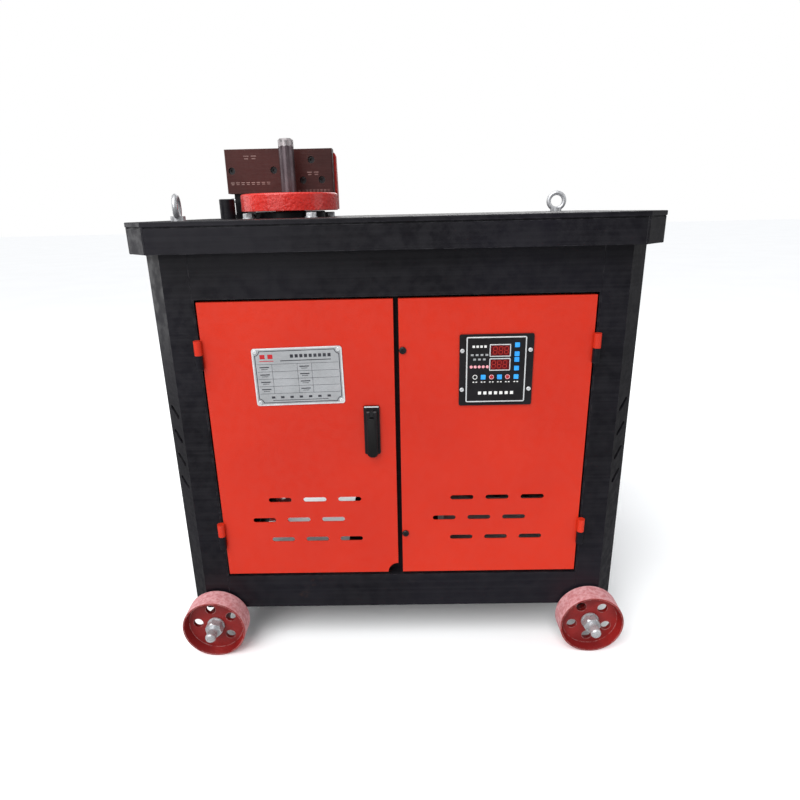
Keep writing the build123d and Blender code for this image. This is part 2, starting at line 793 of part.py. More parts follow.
with BuildPart() as hinge_pins:
    for top in hinge_tops:
        z = lower_barrel_z(top) + 3
        upright(-hinge_x, hinge_y, z, hinge_pin_r, top - 4 - z)
    mirror(about=Plane.YZ)
save(hinge_pins.part, "hinge_pins")


def door_shell(x_range, side):
    """Pressed door: face with folded edges, vent slots and the red upper hinge barrels."""
    x_low, x_high = x_range
    middle = (x_low + x_high) / 2
    back = door_face_y + door_depth
    block_between((x_low, door_face_y, door_bottom), (x_high, back, door_top))
    block_between(
        (x_low + door_t, door_face_y + door_t, door_bottom + door_t),
        (x_high - door_t, back, door_top - door_t),
        Mode.SUBTRACT,
    )
    with BuildSketch(door_plane(0, 0)) as slots:
        for z, shift in slot_rows:
            with Locations((middle + shift, z)):
                with GridLocations(slot_pitch, 1, 3, 1):
                    SlotOverall(slot_len, slot_w)
    extrude(slots.sketch, amount=-door_t, mode=Mode.SUBTRACT)
    for top in hinge_tops:
        upright(side * hinge_x, hinge_y, top - barrel_h, hinge_r, barrel_h)
        upright(side * hinge_x, hinge_y, top - barrel_h, hinge_bore_r, barrel_h - 3.5, Mode.SUBTRACT)
        z = lower_barrel_z(top)
        upright(side * hinge_x, hinge_y, z - 0.5, hinge_r + 0.5, barrel_h + lower_gap + 0.5, Mode.SUBTRACT)


with BuildPart() as left_door:
    door_shell(left_door_x, -1)
    along_y(left_door_x[1], door_face_y, door_bottom, notch_r, door_depth, Mode.SUBTRACT)
    along_y(latch_x, door_face_y, latch_z, spindle_r + 0.5, door_t, Mode.SUBTRACT)
    with BuildSketch(door_plane(plate_x, plate_z, plate_tilt)):
        with GridLocations(*rivet_spacing, 2, 2):
            Circle(rivet_r)
    extrude(amount=-door_t, mode=Mode.SUBTRACT)
save(left_door.part, "left_door")

with BuildPart() as right_door:
    door_shell(right_door_x, 1)
    with BuildSketch(door_plane(panel_x, panel_z)):
        Rectangle(case_size[0] + 1, case_size[1] + 1)
        with Locations(*panel_screw_places):
            Circle(panel_screw_r)
    extrude(amount=-door_t, mode=Mode.SUBTRACT)
    for z in door_screw_z:
        along_y(door_screw_x, door_face_y, z, door_screw_r + 0.2, door_t, Mode.SUBTRACT)
save(right_door.part, "right_door")

with BuildPart() as nameplate:
    with BuildSketch(door_plane(plate_x, plate_z, plate_tilt)):
        RectangleRounded(*plate_size, 5)
        with GridLocations(*rivet_spacing, 2, 2):
            Circle(rivet_r, mode=Mode.SUBTRACT)
    extrude(amount=1)
save(nameplate.part, "nameplate")

with BuildPart() as nameplate_rivets:
    rivet_grid = door_plane(plate_x, plate_z, plate_tilt)
    with BuildSketch(rivet_grid.offset(-door_t)):
        with GridLocations(*rivet_spacing, 2, 2):
            Circle(rivet_r)
    extrude(amount=door_t + 1)
    with BuildSketch(rivet_grid.offset(1)):
        with GridLocations(*rivet_spacing, 2, 2):
            Circle(2.5)
    extrude(amount=1.2)
save(nameplate_rivets.part, "nameplate_rivets")

# ---------------------------------------------------------------- latch
base_front = door_face_y - latch_base_t
pivot_y = base_front - lever_half_t - 0.4
with BuildPart() as latch_base:
    with BuildSketch(door_plane(latch_x, (latch_low + latch_high) / 2)):
        RectangleRounded(latch_w, latch_high - latch_low, 3)
    extrude(amount=latch_base_t)
    along_y(latch_x, base_front, latch_z, spindle_r + run_gap, latch_base_t, Mode.SUBTRACT)
save(latch_base.part, "latch_base")

cam_y = strip_y + sheet_t + 2
with BuildPart() as latch_rotor:
    along_y(latch_x, base_front, latch_z, spindle_r, cam_y + 4 - base_front)
    block_between((latch_x - 3, base_front - 8, latch_z - 1), (latch_x + 3, base_front, latch_z + 10))
    pin_len = lever_w - 1.6
    with BuildSketch(Plane.YZ.offset(latch_x - pin_len / 2)):
        with Locations((pivot_y, lever_pivot_z)):
            Circle(lever_pin_r)
    extrude(amount=pin_len)
    block_between((latch_x - 8, cam_y, latch_z - 42), (latch_x + 8, cam_y + 4, latch_z + 8))
save(latch_rotor.part, "latch_rotor")

with BuildPart() as latch_lever:
    half = lever_w / 2
    lever_back = (latch_x + half, pivot_y + lever_half_t, lever_pivot_z)
    block_between((latch_x - half, pivot_y - lever_half_t, lever_low), lever_back)
    with BuildSketch(Plane.YZ.offset(latch_x - half)):
        with Locations((pivot_y, lever_pivot_z)):
            Circle(lever_half_t)
    extrude(amount=lever_w)
    fillet(latch_lever.edges().filter_by(Axis.Y).group_by(Axis.Z)[0], 9)
    front_face = latch_lever.faces().filter_by(Plane.XZ).sort_by(Axis.Y)[0]
    chamfer(front_face.edges().filter_by(Axis.Z), 1.5)
    low = (latch_x - 3.5, pivot_y - 5, latch_z - 5)
    high = (latch_x + 3.5, pivot_y + 5, lever_pivot_z + 5)
    block_between(low, high, Mode.SUBTRACT)
    with BuildSketch(Plane.YZ.offset(latch_x - half)):
        with Locations((pivot_y, lever_pivot_z)):
            Circle(lever_pin_r + run_gap)
    extrude(amount=lever_w, mode=Mode.SUBTRACT)
save(latch_lever.part, "latch_lever")

# ---------------------------------------------------------------- control panel
with BuildPart() as control_panel:
    with BuildSketch(door_plane(panel_x, panel_z)):
        RectangleRounded(panel_w, panel_w, 3)
        with Locations(*panel_screw_places):
            Circle(panel_screw_r, mode=Mode.SUBTRACT)
    extrude(amount=bezel_t)
    with BuildSketch(door_plane(panel_x + frame_shift[0], panel_z + frame_shift[1]).offset(bezel_t)):
        RectangleRounded(*frame_size, 2)
    extrude(amount=frame_t)
    with BuildSketch(door_plane(panel_x, panel_z)):
        Rectangle(*case_size)
    extrude(amount=-case_depth)
    face = door_plane(0, 0).offset(bezel_t + frame_t)
    with BuildSketch(face):
        with Locations(*key_places):
            Rectangle(key_size + 2 * key_gap, key_size + 2 * key_gap)
    extrude(amount=-3.5, mode=Mode.SUBTRACT)
    with BuildSketch(face):
        with Locations(*display_places):
            Rectangle(*display_size)
    extrude(amount=-1, mode=Mode.SUBTRACT)
save(control_panel.part, "control_panel")

for number, place in enumerate(key_places, start=1):
    with BuildPart() as key:
        with BuildSketch(face.offset(-1.9)):
            with Locations(place):
                RectangleRounded(key_size, key_size, 1)
        extrude(amount=3.1)
        fillet(key.faces().sort_by(Axis.Y)[0].edges(), 0.5)
    save(key.part, f"key_{number}")

with BuildPart() as door_screws:
    for z in door_screw_z:
        along_y(door_screw_x, door_face_y - screw_head_h, z, screw_head_r, screw_head_h)
        fillet(door_screws.faces().sort_by(Axis.Y)[0].edges(), 1.5)
        along_y(door_screw_x, door_face_y, z, door_screw_r, 33)
    with BuildSketch(door_plane(panel_x, panel_z).offset(-door_t)):
        with Locations(*panel_screw_places):
            Circle(panel_screw_r)
    extrude(amount=door_t + bezel_t)
    with BuildSketch(door_plane(panel_x, panel_z).offset(bezel_t)):
        with Locations(*panel_screw_places):
            Circle(panel_head_r)
    extrude(amount=panel_head_h)
save(door_screws.part, "door_screws")

# ---------------------------------------------------------------- electrics
box_low = (90, -180, angle_top)
box_high = (330, 0, angle_top + 168)
box_wall = 2
with BuildPart() as electric_box:
    block_between(box_low, box_high)
    inside_low = (box_low[0] + box_wall, box_low[1] + box_wall, box_low[2])
    block_between(inside_low, [end - box_wall for end in box_high], Mode.SUBTRACT)
save(electric_box.part, "electric_box")

gland_back = cab_half_d - 12
gland_hex = 24
lock_nut_t = 5
collar_t = 7
with BuildPart() as cable_gland:
    along_y(gland_x, gland_back, gland_z, gland_neck_r, 30)
    hex_y(gland_x, cab_half_d, gland_z, gland_hex, collar_t)
    hex_y(gland_x, cab_half_d - sheet_t - lock_nut_t, gland_z, gland_hex, lock_nut_t)
    along_y(gland_x, cab_half_d + collar_t, gland_z, gland_neck_r + 2, 16)
    fillet(cable_gland.faces().sort_by(Axis.Y)[-1].edges(), 3)
    along_y(gland_x, gland_back, gland_z, gland_bore_r, 40, Mode.SUBTRACT)
save(cable_gland.part, "cable_gland")
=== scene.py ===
from math import cos, pi, radians, sin

import bmesh
import bpy
from mathutils import Matrix, Vector


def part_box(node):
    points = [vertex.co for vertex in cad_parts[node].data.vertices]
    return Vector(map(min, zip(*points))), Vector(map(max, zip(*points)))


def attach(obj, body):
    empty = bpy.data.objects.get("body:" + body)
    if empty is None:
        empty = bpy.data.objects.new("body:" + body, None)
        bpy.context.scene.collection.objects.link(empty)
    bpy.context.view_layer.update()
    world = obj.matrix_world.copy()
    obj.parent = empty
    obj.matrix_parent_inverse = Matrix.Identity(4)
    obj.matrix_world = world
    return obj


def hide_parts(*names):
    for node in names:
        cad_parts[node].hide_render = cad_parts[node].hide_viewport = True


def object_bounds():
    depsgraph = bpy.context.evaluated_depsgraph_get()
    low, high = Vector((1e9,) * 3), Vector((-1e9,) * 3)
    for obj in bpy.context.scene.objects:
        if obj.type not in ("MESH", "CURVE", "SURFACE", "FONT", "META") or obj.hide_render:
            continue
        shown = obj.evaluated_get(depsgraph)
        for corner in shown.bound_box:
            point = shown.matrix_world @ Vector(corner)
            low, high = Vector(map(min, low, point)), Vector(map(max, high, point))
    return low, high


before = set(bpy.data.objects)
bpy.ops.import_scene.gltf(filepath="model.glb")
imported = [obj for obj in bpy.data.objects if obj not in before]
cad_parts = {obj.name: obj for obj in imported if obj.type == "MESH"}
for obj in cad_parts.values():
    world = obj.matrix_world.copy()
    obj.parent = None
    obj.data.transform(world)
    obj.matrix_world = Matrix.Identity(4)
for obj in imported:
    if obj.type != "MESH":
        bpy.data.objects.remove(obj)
cad_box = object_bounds()

# ---------------------------------------------------------------- camera, floor and light
tilt_down = 0.3193
turn = -0.0158
roll = -0.0232
viewpoint = (0.0051, -1.2433, 0.84975)
lens_mm = 26.09

camera_data = bpy.data.cameras.new("camera")
camera_data.sensor_width = 36
camera_data.lens = lens_mm
camera_data.shift_x = 0.0102
camera_data.shift_y = 0.0032
camera = bpy.data.objects.new("camera", camera_data)
heading = Matrix.Rotation(-turn, 3, "Z")
dip = Matrix.Rotation(pi / 2 - tilt_down, 3, "X")
camera.location = viewpoint
camera.rotation_euler = (heading @ dip @ Matrix.Rotation(roll, 3, "Z")).to_euler()
bpy.context.scene.collection.objects.link(camera)
bpy.context.scene.camera = camera
bpy.context.scene.view_settings.view_transform = "Standard"


def add_softbox(name, place, aim_at, size, power):
    """Large soft area lamp."""
    lamp = bpy.data.lights.new(name, "AREA")
    lamp.shape = "RECTANGLE"
    lamp.size, lamp.size_y = size
    lamp.energy = power
    holder = bpy.data.objects.new(name, lamp)
    holder.location = place
    holder.rotation_euler = (Vector(aim_at) - Vector(place)).to_track_quat("-Z", "Y").to_euler()
    bpy.context.scene.collection.objects.link(holder)


cabinet_middle = (0, 0, 0.5)
add_softbox("overhead_light", (-0.6, -0.6, 3.4), (0, 0, 0.6), (3.2, 2.6), 26)
add_softbox("front_light", (-1.6, -3.2, 1.9), cabinet_middle, (2.6, 2.2), 30)
add_softbox("left_light", (-3.2, 0.9, 1.2), cabinet_middle, (2.0, 2.4), 17)
add_softbox("right_light", (3.2, -0.6, 1.6), cabinet_middle, (1.6, 2.2), 12)
add_softbox("back_light", (0.4, 3.2, 2.2), cabinet_middle, (2.8, 2.0), 30)

high_sun = bpy.data.lights.new("high_sun", "SUN")
high_sun.energy = 2.3
high_sun.angle = radians(50)
sun_holder = bpy.data.objects.new("high_sun", high_sun)
sun_direction = Vector((0.35, 0.55, -0.75))
sun_holder.rotation_euler = sun_direction.to_track_quat("-Z", "Y").to_euler()
bpy.context.scene.collection.objects.link(sun_holder)

world = bpy.data.worlds.new("pale_room")
bpy.context.scene.world = world
world.use_nodes = True
sky = world.node_tree
rays = sky.nodes.new("ShaderNodeLightPath")
walls = sky.nodes["Background"]
walls.inputs["Color"].default_value = (0.93, 0.96, 1, 1)
walls.inputs["Strength"].default_value = 0.5
for ray, level in (("Is Glossy Ray", 0.24), ("Is Camera Ray", 1.0)):
    seen = sky.nodes.new("ShaderNodeBackground")
    seen.inputs["Color"].default_value = (level, level, level, 1)
    pick = sky.nodes.new("ShaderNodeMixShader")
    sky.links.new(rays.outputs[ray], pick.inputs[0])
    sky.links.new(walls.outputs[0], pick.inputs[1])
    sky.links.new(seen.outputs[0], pick.inputs[2])
    walls = pick
sky.links.new(walls.outputs[0], sky.nodes["World Output"].inputs["Surface"])


# ---------------------------------------------------------------- node helpers
def node(tree, kind, feeds=None, **settings):
    """Add a shader node; feeds gives each input a value or another node's output."""
    made = tree.nodes.new("ShaderNode" + kind)
    for name, value in settings.items():
        setattr(made, name, value)
    for name, value in (feeds or {}).items():
        if isinstance(value, bpy.types.NodeSocket):
            tree.links.new(value, made.inputs[name])
        else:
            made.inputs[name].default_value = value
    return made


def mix(tree, mask, low, high):
    """Blend two colours by a mask."""
    blend = node(tree, "Mix", data_type="RGBA")
    for place, value in ((0, mask), (6, low), (7, high)):
        if isinstance(value, bpy.types.NodeSocket):
            tree.links.new(value, blend.inputs[place])
        else:
            blend.inputs[place].default_value = value if place == 0 else (*value, 1)
    return blend.outputs[2]


def between(tree, value, low, high, to_low=0.0, to_high=1.0):
    """Smoothly map a value's range onto another."""
    feeds = {"Value": value, "From Min": low, "From Max": high, "To Min": to_low, "To Max": to_high}
    return node(tree, "MapRange", feeds, interpolation_type="SMOOTHSTEP").outputs[0]


def maths(tree, operation, first, second=0.5):
    """Arithmetic on two values."""
    return node(tree, "Math", {0: first, 1: second}, operation=operation).outputs[0]


def lay_over(tree, colour, mask, share, other):
    """Blend a share of another colour over this one where the mask is high."""
    return mix(tree, maths(tree, "MULTIPLY", mask, share), colour, other)


def object_place(tree):
    """Coordinates of the surface in the object's own space."""
    return node(tree, "TexCoord").outputs["Object"]


def surface_normal(tree):
    """Normal of the surface."""
    return node(tree, "NewGeometry").outputs["Normal"]


def noise(tree, scale, detail, roughness=0.5):
    """Cloudy noise over the object's own space."""
    feeds = {"Vector": object_place(tree), "Scale": scale, "Detail": detail, "Roughness": roughness}
    return node(tree, "TexNoise", feeds).outputs[0]


def new_group(name, inputs, outputs):
    """Start a shader node group with named number inputs and outputs."""
    tree = bpy.data.node_groups.new(name, "ShaderNodeTree")
    for label, start in inputs:
        socket = tree.interface.new_socket(label, in_out="INPUT", socket_type="NodeSocketFloat")
        socket.default_value = start
    for label in outputs:
        tree.interface.new_socket(label, in_out="OUTPUT", socket_type="NodeSocketFloat")
    return tree, tree.nodes.new("NodeGroupInput").outputs, tree.nodes.new("NodeGroupOutput").inputs


def place_group(tree, name, **values):
    """Put a node group into a material with its own values."""
    placed = node(tree, "Group", node_tree=bpy.data.node_groups[name])
    for label, value in values.items():
        placed.inputs[label.replace("_", " ")].default_value = value
    return placed.outputs


# ---------------------------------------------------------------- shared surface effects
tree, given, result = new_group("edge_rub", [("Width", 0.002), ("Reach", 0.5), ("Grain", 60)], ["Mask"])
rounded = node(tree, "Bevel", {"Radius": given["Width"]}, samples=4).outputs[0]
turned = node(tree, "VectorMath", {0: rounded, 1: surface_normal(tree)}, operation="DOT_PRODUCT")
edge = between(tree, maths(tree, "SUBTRACT", 1.0, turned.outputs["Value"]), 0.01, 0.16)
grain = noise(tree, given["Grain"], 5, 0.65)
chipped = maths(tree, "ADD", grain, maths(tree, "SUBTRACT", given["Reach"], 0.5))
worn = maths(tree, "MULTIPLY", edge, between(tree, chipped, 0.46, 0.6))
tree.links.new(worn, result["Mask"])

tree, given, result = new_group("clouding", [("Scale", 6), ("Fine Scale", 40)], ["Broad", "Fine"])
tree.links.new(between(tree, noise(tree, given["Scale"], 3), 0.3, 0.7), result["Broad"])
tree.links.new(between(tree, noise(tree, given["Fine Scale"], 5, 0.6), 0.3, 0.7), result["Fine"])

tree, given, result = new_group("settled_dust", [("Scale", 14), ("Amount", 0.5)], ["Mask"])
up = node(tree, "SeparateXYZ", {0: surface_normal(tree)}).outputs["Z"]
speckle = between(tree, noise(tree, given["Scale"], 6, 0.7), 0.35, 0.65)
lying = maths(tree, "MULTIPLY", between(tree, up, 0.2, 0.95), speckle)
tree.links.new(maths(tree, "MULTIPLY", lying, given["Amount"]), result["Mask"])

tree, given, result = new_group("cast_skin", [("Scale", 120)], ["Height", "Pits"])
lumps = noise(tree, given["Scale"], 4, 0.6)
where = {"Vector": object_place(tree), "Scale": given["Scale"]}
cells = node(tree, "TexVoronoi", where, feature="SMOOTH_F1").outputs["Distance"]
skin = maths(tree, "ADD", lumps, maths(tree, "MULTIPLY", cells, 0.6))
tree.links.new(skin, result["Height"])
tree.links.new(between(tree, lumps, 0.62, 0.72), result["Pits"])

tree, given, result = new_group("bloom_spots", [("Scale", 5), ("Cover", 0.3)], ["Mask"])
start = maths(tree, "SUBTRACT", 0.8, maths(tree, "MULTIPLY", given["Cover"], 0.4))
above = maths(tree, "SUBTRACT", noise(tree, given["Scale"], 6, 0.7), start)
tree.links.new(between(tree, above, 0.0, 0.08), result["Mask"])

tree, given, result = new_group("tool_lines", [("Along", 8), ("Across", 500)], ["Upright", "Level"])
where = node(tree, "SeparateXYZ", {0: object_place(tree)})
for label, flat, tall in (("Upright", "Across", "Along"), ("Level", "Along", "Across")):
    stretched = node(tree, "CombineXYZ")
    for axis, rate in (("X", flat), ("Y", flat), ("Z", tall)):
        scaled = maths(tree, "MULTIPLY", where.outputs[axis], given[rate])
        tree.links.new(scaled, stretched.inputs[axis])
    lines = node(tree, "TexNoise", {"Vector": stretched.outputs[0], "Scale": 1, "Detail": 3})
    tree.links.new(between(tree, lines.outputs[0], 0.3, 0.7), result[label])


# ---------------------------------------------------------------- finishes
finishes = {}


def start_finish(name, roughness, metallic=0.0, specular=0.5, coat=0.0):
    """Open a new material and return its tree and its shader."""
    material = bpy.data.materials.new(name)
    material.use_nodes = True
    shader = material.node_tree.nodes["Principled BSDF"]
    shader.inputs["Roughness"].default_value = roughness
    shader.inputs["Metallic"].default_value = metallic
    shader.inputs["Specular IOR Level"].default_value = specular
    shader.inputs["Coat Weight"].default_value = coat
    shader.inputs["Coat Roughness"].default_value = 0.12
    finishes[name] = material
    return material.node_tree, shader


def dress(tree, shader, colour, mask, smooth, dull):
    """Give the shader its colour, and a roughness that follows a mask."""
    tree.links.new(colour, shader.inputs["Base Color"])
    tree.links.new(between(tree, mask, 0, 1, smooth, dull), shader.inputs["Roughness"])


def emboss(tree, shader, height, distance, strength=1.0):
    """Bump the shader's surface by a height."""
    bump = node(tree, "Bump", {"Height": height, "Distance": distance, "Strength": strength})
    tree.links.new(bump.outputs[0], shader.inputs["Normal"])


tree, shader = start_finish("black_paint", 0.4, specular=0.26)
cloud = place_group(tree, "clouding", Scale=3.2, Fine_Scale=45)
rub = place_group(tree, "edge_rub", Width=0.0022, Reach=0.5, Grain=70)
dust = place_group(tree, "settled_dust", Scale=55, Amount=0.1)
scratch = place_group(tree, "tool_lines", Along=2, Across=260)
bloom = place_group(tree, "bloom_spots", Scale=7, Cover=0.3)
colour = mix(tree, cloud["Broad"], (0.0028, 0.0024, 0.0042), (0.0062, 0.0055, 0.0098))
colour = lay_over(tree, colour, cloud["Fine"], 0.25, (0.016, 0.015, 0.02))
colour = lay_over(tree, colour, bloom["Mask"], 0.5, (0.05, 0.02, 0.01))
# painted edge highlight: the lighter grey on the edges is partly worn paint and partly stands for light
# catching the edges
colour = lay_over(tree, colour, rub["Mask"], 0.5, (0.06, 0.058, 0.064))
colour = mix(tree, dust["Mask"], colour, (0.13, 0.12, 0.115))
colour = lay_over(tree, colour, scratch["Level"], 0.14, (0.03, 0.029, 0.034))
dress(tree, shader, colour, cloud["Fine"], 0.32, 0.54)
emboss(tree, shader, noise(tree, 420, 2), 0.0001, 0.3)

tree, shader = start_finish("door_red", 0.4, specular=0.24)
cloud = place_group(tree, "clouding", Scale=2.6, Fine_Scale=60)
rub = place_group(tree, "edge_rub", Width=0.0015, Reach=0.42, Grain=90)
spots = place_group(tree, "bloom_spots", Scale=30, Cover=0.12)
colour = mix(tree, cloud["Broad"], (0.475, 0.02, 0.007), (0.54, 0.025, 0.008))
colour = lay_over(tree, colour, cloud["Fine"], 0.12, (0.45, 0.032, 0.016))
colour = lay_over(tree, colour, spots["Mask"], 0.25, (0.32, 0.03, 0.02))
colour = lay_over(tree, colour, rub["Mask"], 0.6, (0.26, 0.02, 0.012))
dress(tree, shader, colour, cloud["Fine"], 0.3, 0.44)
emboss(tree, shader, noise(tree, 260, 2), 0.0003, 0.5)

tree, shader = start_finish("cast_red", 0.26, coat=0.4)
cloud = place_group(tree, "clouding", Scale=14, Fine_Scale=150)
rough_cast = place_group(tree, "cast_skin", Scale=170)
rub = place_group(tree, "edge_rub", Width=0.004, Reach=0.55, Grain=120)
dust = place_group(tree, "settled_dust", Scale=60, Amount=0.2)
colour = mix(tree, cloud["Broad"], (0.58, 0.014, 0.008), (0.72, 0.02, 0.011))
colour = lay_over(tree, colour, rough_cast["Pits"], 0.5, (0.2, 0.012, 0.012))
colour = lay_over(tree, colour, rub["Mask"], 0.35, (0.75, 0.2, 0.17))
colour = mix(tree, dust["Mask"], colour, (0.4, 0.12, 0.1))
dress(tree, shader, colour, cloud["Fine"], 0.24, 0.42)
emboss(tree, shader, rough_cast["Height"], 0.0022, 0.75)

tree, shader = start_finish("wheel_red", 0.5, specular=0.45)
cloud = place_group(tree, "clouding", Scale=18, Fine_Scale=130)
rough_cast = place_group(tree, "cast_skin", Scale=220)
rub = place_group(tree, "edge_rub", Width=0.0025, Reach=0.56, Grain=110)
where = node(tree, "SeparateXYZ", {0: object_place(tree)})
wheel_low, wheel_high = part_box("wheel_front_right")
wheel_mid = (wheel_low + wheel_high) / 2
wheel_radius = wheel_mid.z
tread_starts = wheel_radius - 0.0022
tread_full = wheel_radius - 0.0008
side_off = maths(tree, "SUBTRACT", maths(tree, "ABSOLUTE", where.outputs["X"]), wheel_mid.x)
height_off = maths(tree, "SUBTRACT", where.outputs["Z"], wheel_mid.z)
squares = [maths(tree, "POWER", off, 2.0) for off in (side_off, height_off)]
from_axle = maths(tree, "SQRT", maths(tree, "ADD", *squares))
outwards = node(tree, "SeparateXYZ", {0: surface_normal(tree)}).outputs["Y"]
across = between(tree, maths(tree, "ABSOLUTE", outwards), 0.25, 0.8, 1.0, 0.0)
tread = maths(tree, "MULTIPLY", across, between(tree, from_axle, tread_starts, tread_full))
colour = mix(tree, cloud["Broad"], (0.17, 0.007, 0.007), (0.26, 0.011, 0.009))
colour = lay_over(tree, colour, rough_cast["Pits"], 0.4, (0.09, 0.01, 0.01))
scuffed = mix(tree, cloud["Fine"], (0.5, 0.17, 0.18), (0.68, 0.36, 0.37))
scuffed = lay_over(tree, scuffed, rough_cast["Pits"], 0.7, (0.25, 0.06, 0.07))
colour = mix(tree, tread, colour, scuffed)
colour = lay_over(tree, colour, rub["Mask"], 0.5, (0.6, 0.42, 0.4))
dress(tree, shader, colour, tread, 0.4, 0.7)
emboss(tree, shader, rough_cast["Height"], 0.0012, 0.6)

brown_stain = (0.1, 0.09, 0.08)


def plated_steel(name, bright, dull, roughness, metallic=1.0, lines=0.5, shade=brown_stain, cover=0.25):
    """Plated or turned steel with tool lines, cloudy patches and a little staining."""
    tree, shader = start_finish(name, roughness, metallic=metallic)
    cloud = place_group(tree, "clouding", Scale=24, Fine_Scale=170)
    turned = place_group(tree, "tool_lines", Along=30, Across=900)
    stain = place_group(tree, "bloom_spots", Scale=45, Cover=cover)
    colour = mix(tree, cloud["Broad"], dull, bright)
    colour = lay_over(tree, colour, turned["Level"], 0.25, dull)
    colour = lay_over(tree, colour, stain["Mask"], 0.6, shade)
    dress(tree, shader, colour, cloud["Fine"], roughness - 0.1, roughness + 0.14)
    emboss(tree, shader, turned["Level"], 0.0001, lines)


plated_steel("zinc", (0.72, 0.73, 0.75), (0.46, 0.465, 0.48), 0.34, metallic=0.62)
plated_steel("polished_trim", (0.74, 0.76, 0.77), (0.6, 0.61, 0.62), 0.4, metallic=0.35)
plated_steel("machined", (0.52, 0.52, 0.53), (0.33, 0.32, 0.31), 0.33, cover=0.35)
rust_stain = (0.07, 0.05, 0.04)
plated_steel("black_oxide", (0.035, 0.034, 0.036), (0.02, 0.02, 0.022), 0.38, metallic=0.6, shade=rust_stain)
grey_stain = (0.3, 0.3, 0.3)
plated_steel("plate_alu", (0.41, 0.42, 0.435), (0.34, 0.35, 0.36), 0.42, 0.3, 0.6, grey_stain)

tree, shader = start_finish("brown_block", 0.5, specular=0.22)
cloud = place_group(tree, "clouding", Scale=9, Fine_Scale=110)
ground = place_group(tree, "tool_lines", Along=25, Across=600)
rub = place_group(tree, "edge_rub", Width=0.0022, Reach=0.52, Grain=130)
stain = place_group(tree, "bloom_spots", Scale=26, Cover=0.3)
colour = mix(tree, cloud["Broad"], (0.036, 0.0085, 0.0075), (0.064, 0.0145, 0.0125))
colour = lay_over(tree, colour, ground["Level"], 0.3, (0.07, 0.03, 0.026))
colour = lay_over(tree, colour, stain["Mask"], 0.6, (0.022, 0.015, 0.014))
colour = lay_over(tree, colour, rub["Mask"], 0.5, (0.14, 0.1, 0.095))
dress(tree, shader, colour, cloud["Fine"], 0.36, 0.6)
emboss(tree, shader, ground["Level"], 0.00015, 0.5)

pin_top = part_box("centre_pin")[1].z
bare_below_top = 0.0125
ragged_band = 0.001
tree, shader = start_finish("pin_steel", 0.36, metallic=0.75)
cloud = place_group(tree, "clouding", Scale=30, Fine_Scale=160)
drawn_lines_and_streak_sheen = place_group(tree, "tool_lines", Along=12, Across=420)
height = node(tree, "SeparateXYZ", {0: object_place(tree)}).outputs["Z"]
ragged = maths(tree, "ADD", height, maths(tree, "MULTIPLY", cloud["Fine"], 0.003))
bare_from = pin_top - bare_below_top
cap = between(tree, ragged, bare_from - ragged_band, bare_from + ragged_band)
colour = mix(tree, cloud["Broad"], (0.085, 0.06, 0.07), (0.13, 0.1, 0.112))
# painted highlight: the lighter upright lines are partly drawing marks in the steel and partly painted
# highlight streaks
colour = lay_over(tree, colour, drawn_lines_and_streak_sheen["Upright"], 0.45, (0.22, 0.19, 0.2))
colour = mix(tree, cap, colour, mix(tree, cloud["Fine"], (0.36, 0.34, 0.345), (0.56, 0.52, 0.53)))
dress(tree, shader, colour, cloud["Fine"], 0.28, 0.48)
emboss(tree, shader, drawn_lines_and_streak_sheen["Upright"], 0.00015, 0.5)


def cast_enamel(name, dark, light, roughness, scale, lump):
    """Painted casting: lumpy skin, dusty top faces, rubbed edges."""
    tree, shader = start_finish(name, roughness, specular=0.4)
    cloud = place_group(tree, "clouding", Scale=8, Fine_Scale=90)
    rough_cast = place_group(tree, "cast_skin", Scale=scale)
    dust = place_group(tree, "settled_dust", Scale=25, Amount=0.5)
    rub = place_group(tree, "edge_rub", Width=0.003, Reach=0.5, Grain=90)
    colour = mix(tree, cloud["Broad"], dark, light)
    colour = lay_over(tree, colour, rough_cast["Pits"], 0.4, tuple(v * 0.4 for v in dark))
    colour = lay_over(tree, colour, rub["Mask"], 0.6, (0.32, 0.31, 0.3))
    colour = mix(tree, dust["Mask"], colour, (0.2, 0.18, 0.16))
    dress(tree, shader, colour, cloud["Fine"], roughness - 0.08, roughness + 0.12)
    emboss(tree, shader, rough_cast["Height"], lump, 0.6)


cast_enamel("cast_grey", (0.09, 0.1, 0.105), (0.13, 0.14, 0.145), 0.52, 160, 0.0015)
cast_enamel("motor_paint", (0.03, 0.06, 0.09), (0.04, 0.08, 0.115), 0.4, 240, 0.0006)
cast_enamel("box_grey", (0.2, 0.21, 0.21), (0.25, 0.26, 0.26), 0.45, 500, 0.0002)


def moulded(name, dark, light, roughness, pebble):
    """Moulded plastic or rubber with a fine pebbled grain and faint scuffs."""
    tree, shader = start_finish(name, roughness, specular=0.45)
    cloud = place_group(tree, "clouding", Scale=20, Fine_Scale=240)
    rub = place_group(tree, "edge_rub", Width=0.0008, Reach=0.5, Grain=220)
    cells = node(tree, "TexVoronoi", {"Vector": object_place(tree), "Scale": pebble})
    colour = mix(tree, cloud["Broad"], dark, light)
    colour = lay_over(tree, colour, rub["Mask"], 0.4, tuple(min(1, v * 2 + 0.03) for v in light))
    dress(tree, shader, colour, cloud["Fine"], roughness - 0.07, roughness + 0.1)
    emboss(tree, shader, cells.outputs["Distance"], 0.00012, 0.4)


moulded("black_plastic", (0.0045, 0.0038, 0.0052), (0.009, 0.0078, 0.0102), 0.42, 1800)
moulded("key_blue", (0.012, 0.26, 0.74), (0.03, 0.36, 0.84), 0.35, 3000)
moulded("belt_rubber", (0.012, 0.012, 0.012), (0.022, 0.021, 0.02), 0.75, 900)
moulded("white_ink", (0.62, 0.62, 0.6), (0.74, 0.74, 0.72), 0.5, 3000)
moulded("worn_ink", (0.12, 0.05, 0.045), (0.3, 0.19, 0.17), 0.6, 3000)
moulded("latch_black", (0.0028, 0.0022, 0.0026), (0.005, 0.0042, 0.0048), 0.5, 1800)
moulded("dark_ink", (0.02, 0.02, 0.028), (0.035, 0.036, 0.046), 0.5, 3000)


